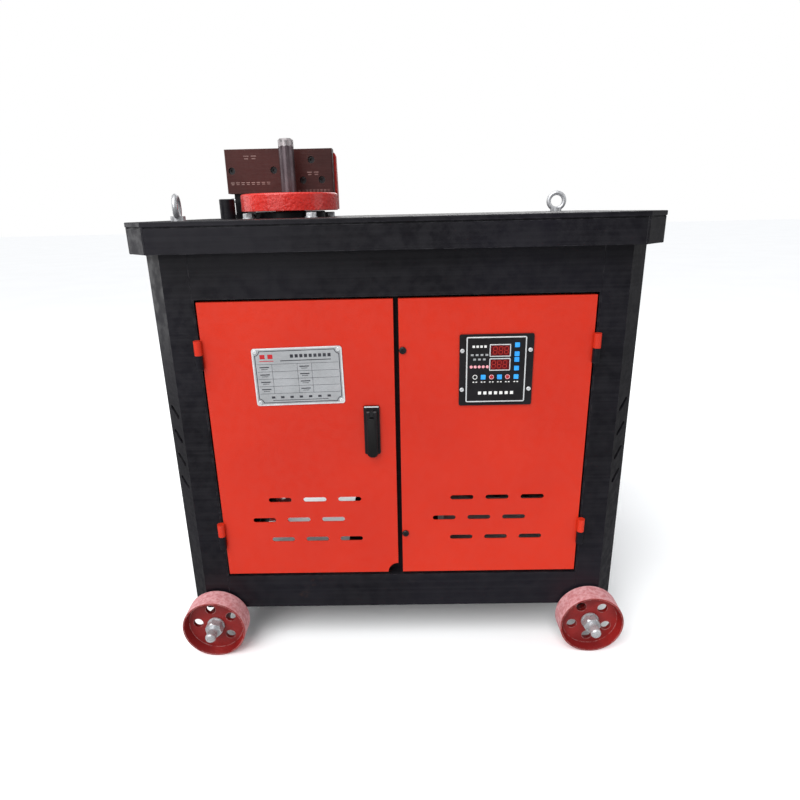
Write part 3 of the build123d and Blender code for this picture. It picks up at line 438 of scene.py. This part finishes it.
def lamp_lens(name, dark, light, glow, strength, coat=0.6):
    """Tinted lens over a small lamp, a little brighter in patches."""
    tree, shader = start_finish(name, 0.16, specular=0.3, coat=coat)
    cloud = place_group(tree, "clouding", Scale=90, Fine_Scale=700)
    dress(tree, shader, mix(tree, cloud["Fine"], dark, light), cloud["Broad"], 0.12, 0.26)
    shader.inputs["Emission Color"].default_value = (*glow, 1)
    shader.inputs["Emission Strength"].default_value = strength


lamp_lens("display_window", (0.05, 0.0015, 0.003), (0.085, 0.003, 0.0055), (0.3, 0.004, 0.008), 0.08, 0.08)
lamp_lens("display_segment", (0.3, 0.02, 0.015), (0.36, 0.03, 0.02), (0.5, 0.03, 0.02), 0.16, 0.05)
lamp_lens("pink_lamp", (0.62, 0.2, 0.24), (0.8, 0.42, 0.46), (0.8, 0.3, 0.34), 0.1)
lamp_lens("red_lamp", (0.3, 0.01, 0.015), (0.42, 0.02, 0.025), (0.5, 0.02, 0.02), 0.15)

for cad_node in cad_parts.values():
    for i, material in enumerate(cad_node.data.materials):
        cad_node.data.materials[i] = finishes[material.name.split(".")[0]]


# ---------------------------------------------------------------- modelling helpers
def hold(piece):
    """Make one piece the only one selected and the active one."""
    bpy.ops.object.select_all(action="DESELECT")
    piece.select_set(True)
    bpy.context.view_layer.objects.active = piece


def new_block(name, low, high):
    """Cube stretched between two corners."""
    bpy.ops.object.select_all(action="DESELECT")
    low, high = Vector(low), Vector(high)
    bpy.ops.mesh.primitive_cube_add(size=1, location=(low + high) / 2, scale=high - low)
    piece = bpy.context.active_object
    piece.name = name
    bpy.ops.object.transform_apply(location=True, rotation=True, scale=True)
    return piece


def new_rod(name, radius, depth, centre=(0, 0, 0), sides=32, lay=None):
    """Cylinder about an upright axis, or laid along Y."""
    bpy.ops.object.select_all(action="DESELECT")
    turned = {None: (0, 0, 0), "Y": (pi / 2, 0, 0)}[lay]
    bpy.ops.mesh.primitive_cylinder_add(
        vertices=sides, radius=radius, depth=depth, location=centre, rotation=turned
    )
    piece = bpy.context.active_object
    piece.name = name
    bpy.ops.object.transform_apply(location=True, rotation=True, scale=True)
    return piece


def edit(piece, kind, test):
    """Enter edit mode with only the faces, edges or vertices that pass the test selected."""
    hold(piece)
    bpy.ops.object.mode_set(mode="EDIT")
    bpy.ops.mesh.select_mode(type=kind)
    bpy.ops.mesh.select_all(action="DESELECT")
    shape = bmesh.from_edit_mesh(piece.data)
    shape.normal_update()
    for item in {"FACE": shape.faces, "EDGE": shape.edges, "VERT": shape.verts}[kind]:
        item.select_set(test(item))
    shape.select_flush_mode()
    bmesh.update_edit_mesh(piece.data)


def leave():
    """Back to object mode."""
    bpy.ops.object.mode_set(mode="OBJECT")


def round_edges(piece, width, test=None, segments=2):
    """Bevel the edges that pass the test, or all of them."""
    edit(piece, "EDGE", test or (lambda e: True))
    bpy.ops.mesh.bevel(offset=width, segments=segments, affect="EDGES")
    leave()


def rim_at(z):
    """Test for edges lying at one height."""
    return lambda e: all(abs(v.co.z - z) < 1e-6 for v in e.verts)


def in_front_of(y):
    """Test for edges lying wholly in front of a depth."""
    return lambda e: all(v.co.y < y for v in e.verts)


def runs_back(e):
    """An edge that runs from front to back."""
    return abs((e.verts[0].co - e.verts[1].co).normalized().y) > 0.9


def cut_with(piece, cutter, operation="DIFFERENCE"):
    """Boolean a piece with a cutter, then drop the cutter."""
    hold(piece)
    cut = piece.modifiers.new("cut", "BOOLEAN")
    cut.operation = operation
    cut.solver = "EXACT"
    cut.object = cutter
    bpy.ops.object.modifier_apply(modifier="cut")
    bpy.data.objects.remove(cutter)


def join(name, pieces):
    """Join pieces into the first one."""
    bpy.ops.object.select_all(action="DESELECT")
    for piece in pieces:
        piece.select_set(True)
    bpy.context.view_layer.objects.active = pieces[0]
    bpy.ops.object.join()
    pieces[0].name = name
    return pieces[0]


def copy_to(piece, name, place):
    """Copy of a piece with its own mesh, moved by a matrix or an offset."""
    twin = piece.copy()
    twin.data = piece.data.copy()
    twin.name = name
    bpy.context.scene.collection.objects.link(twin)
    if not isinstance(place, Matrix):
        place = Matrix.Translation(place)
    twin.data.transform(place)
    return twin


def finish_piece(piece, body, finish, stands_for=(), smooth=35):
    """Seat the piece in the frame: place into its mesh, smooth shading, finish and body."""
    hold(piece)
    bpy.ops.object.transform_apply(location=True, rotation=True, scale=True)
    bpy.ops.object.shade_smooth_by_angle(angle=radians(smooth))
    piece.data.materials.clear()
    piece.data.materials.append(finishes[finish])
    if stands_for:
        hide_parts(*stands_for)
    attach(piece, body)
    return piece


def drop(*pieces):
    """Remove working pieces that were only copied from."""
    for piece in pieces:
        bpy.data.objects.remove(piece)


def hex_head(name, across, height):
    """Hexagon with its corners turned down at both ends, standing on z = 0."""
    corner = across / 2 / cos(pi / 6)
    head = new_rod(name, corner, height, (0, 0, height / 2), 6)
    turned = new_rod("turned_blank", corner, height, (0, 0, height / 2), 64)
    for level in (height, 0):
        round_edges(turned, corner * 0.11, rim_at(level), 1)
    cut_with(head, turned, "INTERSECT")
    return head


def flat_washer(name, outer, inner, thickness):
    """Plain washer standing on z = 0 with its outer edge broken."""
    ring = new_rod(name, outer, thickness, (0, 0, thickness / 2), 48)
    round_edges(ring, thickness * 0.22, rim_at(thickness))
    cut_with(ring, new_rod("washer_bore", inner, thickness * 3, (0, 0, thickness / 2), 32))
    return ring


def threaded_rod(name, radius, low, high, pitch):
    """Rod with rounded thread crests between two heights and a broken end edge at the top."""
    turns = max(2, round((high - low) / pitch))
    levels = [low + (high - low) * i / (turns * 2) for i in range(1, turns * 2)]
    rod = new_rod(name, radius, high - low, (0, 0, (high + low) / 2), 32)
    edit(rod, "FACE", lambda f: True)
    for level in levels:
        bpy.ops.mesh.select_all(action="SELECT")
        bpy.ops.mesh.bisect(plane_co=(0, 0, level), plane_no=(0, 0, 1))
    leave()
    valleys = {round(level, 6) for level in levels[::2]}
    edit(rod, "VERT", lambda v: round(v.co.z, 6) in valleys)
    bpy.ops.transform.resize(value=(0.91, 0.91, 1), center_override=(0, 0, 0))
    leave()
    round_edges(rod, radius * 0.12, rim_at(high))
    return rod


# ---------------------------------------------------------------- wheel nuts
seating_gap = 0.00005
washer_t = 0.003
nut_h = 0.016
nut_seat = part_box("wheel_nuts")[0].y + nut_h + washer_t + seating_gap
washer = flat_washer("wheel_washer", 0.0175, 0.0102, washer_t)
nut = hex_head("wheel_nut", 0.030, nut_h)
cut_with(nut, new_rod("nut_bore", 0.01005, 0.05, (0, 0, nut_h / 2), 32))
nut.data.transform(Matrix.Translation((0, 0, washer_t + seating_gap)))
wheel_nut = join("wheel_nut_and_washer", [nut, washer])
nut_turns = (12, 34, 5, 50)
for number, (x_side, y_side) in enumerate(((-1, -1), (1, -1), (-1, 1), (1, 1))):
    spin = Matrix.Rotation(radians(nut_turns[number]), 4, "Z")
    outwards = Matrix.Rotation(-y_side * pi / 2, 4, "X")
    seat = Matrix.Translation((x_side * wheel_mid.x, y_side * -nut_seat, wheel_mid.z))
    fitted = copy_to(wheel_nut, f"wheel_nut_{number + 1}", seat @ outwards @ spin)
    finish_piece(fitted, "machine", "zinc", stands_for=["wheel_nuts"])
drop(wheel_nut)

# ---------------------------------------------------------------- bearing seat bolts
bolt_circle = 0.090
first_bolt = 35
first_head = 46
bolt_r = 0.006
washer_t = 0.002
head_h = 0.008
seat_low, seat_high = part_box("bearing_seat")
table_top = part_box("table_plate")[1].z
shank_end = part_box("seat_bolts")[0].z - table_top
disk_axis = Vector(((seat_low.x + seat_high.x) / 2, 0, table_top))
washer = flat_washer("seat_washer", 0.012, 0.0062, washer_t)
head = hex_head("seat_bolt_head", 0.019, head_h)
cut_with(head, new_rod("head_dish", 0.0068, 0.004, (0, 0, head_h + 0.0013), 48))
head.data.transform(Matrix.Translation((0, 0, washer_t + seating_gap)))
shank = threaded_rod("seat_bolt_shank", bolt_r, shank_end, washer_t + 0.001, 0.00175)
seat_bolt = join("seat_bolt", [head, washer, shank])
for number in range(4):
    around = radians(first_bolt + 90 * number)
    spot = disk_axis + Vector((cos(around), sin(around), 0)) * bolt_circle
    spin = Matrix.Rotation(radians(first_head + 90 * number), 4, "Z")
    fitted = copy_to(seat_bolt, f"seat_bolt_{number + 1}", Matrix.Translation(spot) @ spin)
    finish_piece(fitted, "machine", "zinc", stands_for=["seat_bolts"])
drop(seat_bolt)

# ---------------------------------------------------------------- rating plate
name_low, name_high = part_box("nameplate")
name_middle = (name_low + name_high) / 2
plate_tilt = radians(-1.1)
plate_turn = Matrix.Translation(name_middle) @ Matrix.Rotation(plate_tilt, 4, "Y")
plate_front = -(name_high.y - name_low.y) / 2
plate_half = Vector((0.08, 0, 0.053))


def on_plate(name, low, high, rise=0.00012):
    """Thin printed bar on the plate's front, given by its plate corners."""
    return new_block(name, (low[0], plate_front - rise, low[1]), (high[0], plate_front + 0.0001, high[1]))


border = 0.0048
frame_x = plate_half.x - border
frame_z = plate_half.z - border
line = 0.0013
corner_gap = 0.0085
straight_x = frame_x - corner_gap
straight_z = frame_z - corner_gap
ink = [
    on_plate("line", (-straight_x, frame_z - line), (straight_x, frame_z)),
    on_plate("line", (-straight_x, -frame_z), (straight_x, -frame_z + line)),
    on_plate("line", (-frame_x, -straight_z), (-frame_x + line, straight_z)),
    on_plate("line", (frame_x - line, -straight_z), (frame_x, straight_z)),
]
for x_side in (-1, 1):
    for z_side in (-1, 1):
        centre = Vector((x_side * frame_x, plate_front, z_side * frame_z))
        bow = new_rod("line", corner_gap + line / 2, 0.00022, centre, 48, "Y")
        cut_with(bow, new_rod("bow_middle", corner_gap - line / 2, 0.01, centre, 48, "Y"))
        low = (min(0, x_side), -1, min(0, z_side))
        inner = new_block("bow_keep", low, (max(0, x_side), 1, max(0, z_side)))
        inner.data.transform(Matrix.Translation(centre - Vector((x_side, 0, z_side))))
        cut_with(bow, inner, "INTERSECT")
        ink.append(bow)

thin_line = 0.0005
table_high = frame_z - 0.0245
table_low = -frame_z + 0.0175
table_left = -frame_x + 0.003
table_right = frame_x - 0.003
rows = 4
row_h = (table_high - table_low) / rows
middle_line = -0.001
for i in range(rows + 1):
    z = table_low + row_h * i
    ink.append(on_plate("line", (table_left, z), (table_right, z + thin_line)))
for x in (table_left + 0.026, middle_line, 0.0245):
    ink.append(on_plate("line", (x, table_low), (x + thin_line, table_high)))
entry_w = 0.017
for i in range(rows):
    z = table_low + row_h * (i + 0.55)
    for x in (table_left + 0.004, middle_line + 0.004):
        ink.append(on_plate("mark", (x, z), (x + entry_w, z + 0.0018)))
        ink.append(on_plate("mark", (x + 0.003, z - 0.003), (x + entry_w - 0.003, z - 0.0021)))
for i in range(7):
    x = -0.052 + i * 0.0168
    ink.append(on_plate("mark", (x, -frame_z + 0.0085), (x + 0.0062, -frame_z + 0.0125)))
ink.append(on_plate("mark", (-0.05, -frame_z + 0.0043), (0.05, -frame_z + 0.0054)))
for i in range(9):
    x = -0.012 + i * 0.0083
    ink.append(on_plate("mark", (x, frame_z - 0.0135), (x + 0.0055, frame_z - 0.0075)))
ink.append(on_plate("mark", (-0.03, frame_z - 0.0192), (0.06, frame_z - 0.0178)))
printing = join("plate_printing", ink)
printing.data.transform(plate_turn)
finish_piece(printing, "left_door_leaf", "dark_ink")

red_marks = [
    on_plate("mark", (-0.066, frame_z - 0.0145), (-0.057, frame_z - 0.0065)),
    on_plate("mark", (-0.052, frame_z - 0.0145), (-0.043, frame_z - 0.0065)),
    on_plate("mark", (-0.067, frame_z - 0.0192), (-0.042, frame_z - 0.0178)),
]
# painted glow: the red printing takes the emitting red_lamp finish, so this print glows though it is no lamp
glowing_red_printing = join("plate_red_printing", red_marks)
glowing_red_printing.data.transform(plate_turn)
finish_piece(glowing_red_printing, "left_door_leaf", "red_lamp")

rim_rise = 0.00035
rim_w = 0.0026
rim_front = plate_front - rim_rise
rim_back = plate_front + 0.0001
rim_low = (-plate_half.x, rim_front, -plate_half.z)
rim = new_block("plate_rim", rim_low, (plate_half.x, rim_back, plate_half.z))
round_edges(rim, 0.005, runs_back, 6)
round_edges(rim, 0.00015, in_front_of(plate_front - 0.0003), 1)
hole_x = plate_half.x - rim_w
hole_z = plate_half.z - rim_w
rim_hole = new_block("rim_hole", (-hole_x, -1, -hole_z), (hole_x, 1, hole_z))
round_edges(rim_hole, 0.003, runs_back, 4)
cut_with(rim, rim_hole)
rim.data.transform(plate_turn)
finish_piece(rim, "left_door_leaf", "polished_trim")

# ---------------------------------------------------------------- control panel face
panel_low, panel_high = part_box("control_panel")
panel_middle = (panel_low + panel_high) / 2
face_y = panel_low.y


def bar_on_face(name, low, high, rise, sink=0.0001):
    """Flat bar standing proud of the panel's face, given by its corners in x and z."""
    return new_block(name, (low[0], face_y - rise, low[1]), (high[0], face_y + sink, high[1]))


def around_point(x, z, half_w, half_h):
    """Low and high corners of a rectangle about its middle."""
    return (x - half_w, z - half_h), (x + half_w, z + half_h)


def face_ring(name, corners, width, rise, corner):
    """Rounded rectangular ring lying on the panel's face."""
    low, high = corners
    ring = bar_on_face(name, low, high, rise)
    round_edges(ring, corner, runs_back, 5)
    round_edges(ring, rise * 0.35, in_front_of(face_y - rise * 0.9), 1)
    low_in = (low[0] + width, -1, low[1] + width)
    high_in = (high[0] - width, 1, high[1] - width)
    opening = new_block("ring_opening", low_in, high_in)
    round_edges(opening, max(corner - width, 0.0004), runs_back, 4)
    cut_with(ring, opening)
    return ring


frame_middle = (panel_middle.x - 0.0007, panel_middle.z + 0.0014)
frame_corners = around_point(*frame_middle, 0.0525, 0.0595)
silver = [face_ring("silver", frame_corners, 0.0021, 0.0007, 0.003)]
windows = []
segments = []
keys_low, keys_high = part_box("key_6")
display_x = (keys_low.x + keys_high.x) / 2 - 0.0002
digit_pitch = 0.0098
stroke_half = 0.0005
stroke_reach = 0.0025
stroke_rise = 0.00025
digit_half_w = 0.0032
digit_half_h = 0.0064
for display_z in (0.6142, 0.589):
    ring_corners = around_point(display_x, display_z, 0.0185, 0.0112)
    silver.append(face_ring("silver", ring_corners, 0.0016, 0.0008, 0.0016))
    pane_corners = around_point(display_x, display_z, 0.0169, 0.0097)
    pane = bar_on_face("pane", *pane_corners, 0.0001, 0.001)
    round_edges(pane, 0.00005, in_front_of(face_y), 1)
    windows.append(pane)
    for digit in (-1, 0, 1):
        middle_x = display_x + digit * digit_pitch
        for z_off in (-digit_half_h, 0, digit_half_h):
            level = around_point(middle_x, display_z + z_off, stroke_reach, stroke_half)
            segments.append(bar_on_face("segment", *level, stroke_rise))
        for x_off in (-digit_half_w, digit_half_w):
            for z_off in (-digit_half_h / 2, digit_half_h / 2):
                upright = around_point(middle_x + x_off, display_z + z_off, stroke_half, stroke_reach)
                segments.append(bar_on_face("segment", *upright, stroke_rise))
finish_piece(join("panel_silver_frames", silver), "right_door_leaf", "polished_trim")
finish_piece(join("display_windows", windows), "right_door_leaf", "display_window")
digits = join("display_digits", segments)
digits_z = 0.6016
slant = Matrix.Identity(4)
slant[0][2] = 0.08
lift = Matrix.Translation((0, 0, digits_z))
digits.data.transform(lift @ slant @ lift.inverted())
finish_piece(digits, "right_door_leaf", "display_segment")


def round_lens(name, x, z, radius, rise):
    """Small domed lamp on the panel's face."""
    lens = new_rod(name, radius, 2 * rise, (x, face_y, z), 24, "Y")
    round_edges(lens, rise * 0.9, in_front_of(face_y - rise * 0.9), 4)
    return lens


def lamp_ring(x, z):
    """Printed ring round a lamp."""
    ring = new_rod("ring", 0.0042, 0.0004, (x, face_y, z), 32, "Y")
    cut_with(ring, new_rod("ring_middle", 0.0031, 0.01, (x, face_y, z), 32, "Y"))
    return ring


def printed_mark(low, high):
    """Thin printed bar on the panel's face."""
    return bar_on_face("mark", low, high, 0.0002)


lamp_rise = 0.0008
resting_place = (0.1379, 0.5664)
running_x = (0.1671, 0.1954)
running_z = 0.5662
pink = [round_lens("pink_lamp", 0.1308 + i * 0.0071, 0.585, 0.0027, lamp_rise) for i in range(5)]
finish_piece(join("row_of_lamps", pink), "right_door_leaf", "pink_lamp")
red = [round_lens("red_lamp", x, running_z, 0.0024, lamp_rise) for x in running_x]
finish_piece(join("running_lamps", red), "right_door_leaf", "red_lamp")
dark = round_lens("resting_lamp", *resting_place, 0.0024, lamp_rise)
finish_piece(dark, "right_door_leaf", "black_plastic")

print_marks = [lamp_ring(*resting_place)]
for x in (0.1379, 0.1524, 0.1671, 0.1812, 0.1954, 0.2105):
    for shift in (-0.0026, 0.0026):
        print_marks.append(printed_mark((x + shift - 0.0014, 0.5562), (x + shift + 0.0014, 0.558)))
for i in range(4):
    x = 0.1325 + i * 0.0068
    print_marks.append(printed_mark((x, 0.6195), (x + 0.0042, 0.6235)))
for i in range(7):
    x = 0.144 + i * 0.0095
    print_marks.append(printed_mark((x, 0.534), (x + 0.0055, 0.5395)))
finish_piece(join("panel_printing", print_marks), "right_door_leaf", "white_ink")
pale = []
for row, count in ((0.6065, 4), (0.5985, 3)):
    for i in range(count):
        x = 0.145 + (i - (count - 1) / 2) * 0.0085
        pale.append(printed_mark(*around_point(x, row, 0.0024, 0.0017)))
finish_piece(join("panel_pale_printing", pale), "right_door_leaf", "plate_alu")
# painted glow: these printed rings take the emitting pink_lamp finish, so the print glows though it is no
# lamp
glowing_pink_rings = [lamp_ring(x, running_z) for x in running_x]
finish_piece(join("lamp_rings", glowing_pink_rings), "right_door_leaf", "pink_lamp")


# ---------------------------------------------------------------- panel and door screws
def pan_screw(name, radius, rise, shank, length):
    """Cross-recessed pan head standing on z = 0, with its shank below."""
    screw = new_rod(name, radius, rise, (0, 0, rise / 2), 40)
    round_edges(screw, rise * 0.55, rim_at(rise), 4)
    slot_long, slot_short = radius * 0.55, radius * 0.17
    for x, y in ((slot_long, slot_short), (slot_short, slot_long)):
        cut_with(screw, new_block("recess", (-x, -y, rise * 0.45), (x, y, rise * 2)))
    stem = new_rod("stem", shank, length, (0, 0, -length / 2), 20)
    round_edges(stem, shank * 0.2, rim_at(-length), 1)
    return join(name, [screw, stem])


door_face = -0.247
bezel_t = 0.0025
outwards = Matrix.Rotation(pi / 2, 4, "X")
panel_screw = pan_screw("panel_screw_blank", 0.0038, 0.0022, 0.0017, 0.0045)
panel_screw_places = ((-0.060, 0.036), (0.059, 0.036), (-0.060, -0.035), (0.059, -0.035))
for number, (x, z) in enumerate(panel_screw_places):
    seat = Matrix.Translation((panel_middle.x + x, door_face - bezel_t, panel_middle.z + z))
    spin = Matrix.Rotation(radians(17 + 38 * number), 4, "Z")
    fitted = copy_to(panel_screw, f"panel_screw_{number + 1}", seat @ outwards @ spin)
    finish_piece(fitted, "right_door_leaf", "polished_trim", stands_for=["door_screws"])
door_screw = pan_screw("door_screw_blank", 0.0065, 0.0035, 0.003, 0.033)
for number, z in enumerate((0.6165, 0.251)):
    seat = Matrix.Translation((0.0105, door_face, z))
    spin = Matrix.Rotation(radians(25 + 50 * number), 4, "Z")
    fitted = copy_to(door_screw, f"door_screw_{number + 1}", seat @ outwards @ spin)
    finish_piece(fitted, "right_door_leaf", "black_oxide", stands_for=["door_screws"])
drop(panel_screw, door_screw)

# ---------------------------------------------------------------- stamped marks on the blocks
def stamped(name, block_node, body, rows):
    """Rows of paired dashes stamped on a block's front: (from its left edge, height, count, size)."""
    low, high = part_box(block_node)
    dashes = []
    for start, height, count, size in rows:
        for i in range(count):
            x = low.x + start + i * size * 1.45
            for rise, left in ((0.2, 0.12), (0.66, 0.0)):
                z = low.z + height + size * rise
                front = (x + size * left, low.y - 0.00012, z)
                back = (x + size * (1 - left), low.y + 0.0001, z + size * 0.2)
                dashes.append(new_block("dash", front, back))
    finish_piece(join(name, dashes), body, "worn_ink")


fence_rows = ((0.039, 0.0635, 2, 0.0105), (0.0085, 0.0155, 8, 0.0073))
swing_rows = ((0.036, 0.0345, 2, 0.0095), (0.0155, 0.0035, 9, 0.0052))
stamped("fence_marks", "fence_block", "machine", fence_rows)
stamped("swing_marks", "swing_block", "work_head", swing_rows)

# ---------------------------------------------------------------- latch trim
hair = 1e-5
base_low, base_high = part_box("latch_base")
lever_low, lever_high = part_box("latch_lever")
lever_x = (lever_low.x + lever_high.x) / 2
strip_top = base_high.z - 0.0006
strip_front = base_low.y - 0.0003
strip_low = (base_low.x + 0.0015, strip_front, strip_top - 0.0022)
strip_high = (base_high.x - 0.0015, base_low.y + 0.0002, strip_top)
strip = new_block("latch_strip", strip_low, strip_high)
round_edges(strip, 0.0001, in_front_of(strip_front + hair), 1)
finish_piece(strip, "left_door_leaf", "polished_trim")

pad_half_w = 0.0076
pad_front = lever_low.y - 0.0006
pad_low = (lever_x - pad_half_w, pad_front, lever_low.z + 0.0024)
pad_high = (lever_x + pad_half_w, lever_low.y + 0.0004, lever_high.z - 0.0135)
pad = new_block("latch_pad", pad_low, pad_high)
round_edges(pad, 0.0072, runs_back, 8)
round_edges(pad, 0.0005, in_front_of(pad_front + hair), 2)
finish_piece(pad, "latch_handle", "latch_black")

# ---------------------------------------------------------------- rivet heads on the rating plate
rivet_low, rivet_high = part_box("nameplate_rivets")
rivet_front = rivet_low.y - name_middle.y
rivet_head_h = 0.0013
stem_len = rivet_high.y - rivet_low.y - rivet_head_h
stem_y = rivet_front + rivet_head_h + stem_len / 2
rivet_places = ((-0.074, -0.047), (0.074, -0.047), (-0.074, 0.047), (0.074, 0.047))
for number, (x, z) in enumerate(rivet_places):
    rivet = new_rod("rivet", 0.0036, rivet_head_h, (x, rivet_front + rivet_head_h / 2, z), 32, "Y")
    round_edges(rivet, 0.0009, in_front_of(rivet_front + hair), 4)
    cut_with(rivet, new_rod("punched_middle", 0.0011, 0.0016, (x, rivet_front, z), 16, "Y"))
    stem = new_rod("rivet_stem", 0.0016, stem_len, (x, stem_y, z), 16, "Y")
    rivet = join(f"plate_rivet_{number + 1}", [rivet, stem])
    rivet.data.transform(plate_turn)
    finish_piece(rivet, "left_door_leaf", "polished_trim", stands_for=["nameplate_rivets"])

# ---------------------------------------------------------------- weld beads
apron_low, apron_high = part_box("apron")
corner_leg = 0.0424


def weld_bead(name, start, end, radius):
    """Row of overlapping weld ripples along a straight seam."""
    start, end = Vector(start), Vector(end)
    count = max(3, round((end - start).length / (radius * 0.75)))
    bpy.ops.object.select_all(action="DESELECT")
    bpy.ops.mesh.primitive_uv_sphere_add(segments=12, ring_count=8, radius=radius, location=start)
    bead = bpy.context.active_object
    bead.name = name
    bpy.ops.object.transform_apply(location=True, rotation=True, scale=True)
    edit(bead, "VERT", lambda v: (v.co - start).y * (v.co - start).x > 0)
    bpy.ops.transform.resize(value=(1.12, 1.12, 1), center_override=start)
    leave()
    row = bead.modifiers.new("ripples", "ARRAY")
    row.count = count
    row.use_relative_offset = False
    row.use_constant_offset = True
    row.constant_offset_displace = (end - start) / (count - 1)
    bpy.ops.object.modifier_apply(modifier="ripples")
    return bead


beads = []
bead_r = 0.0028
bead_depth = 0.0022
bead_end = 0.002
outer_x = apron_high.x
outer_y = -apron_low.y
for x_side in (-1, 1):
    for y_side in (-1, 1):
        for x, y in ((outer_x - corner_leg, outer_y), (outer_x, outer_y - corner_leg)):
            seam = Vector((x_side * (x - bead_depth), y_side * (y - bead_depth), 0))
            low = seam + Vector((0, 0, apron_low.z + bead_end))
            high = seam + Vector((0, 0, apron_high.z - bead_end))
            beads.append(weld_bead("bead", low, high, bead_r))
finish_piece(join("apron_welds", beads), "machine", "black_paint", smooth=60)

# ---------------------------------------------------------------- floor
bpy.ops.object.select_all(action="DESELECT")
bpy.ops.mesh.primitive_plane_add(size=60, location=(0, 0, cad_box[0].z))
floor = bpy.context.active_object
floor.name = "floor"
tree, shader = start_finish("pale_floor", 0.85, specular=0.2)
cloud = place_group(tree, "clouding", Scale=1.5, Fine_Scale=30)
paleness = mix(tree, cloud["Broad"], (0.97, 0.97, 0.97), (0.99, 0.99, 0.99))
tree.links.new(paleness, shader.inputs["Base Color"])
floor.data.materials.append(finishes["pale_floor"])
floor.visible_glossy = False
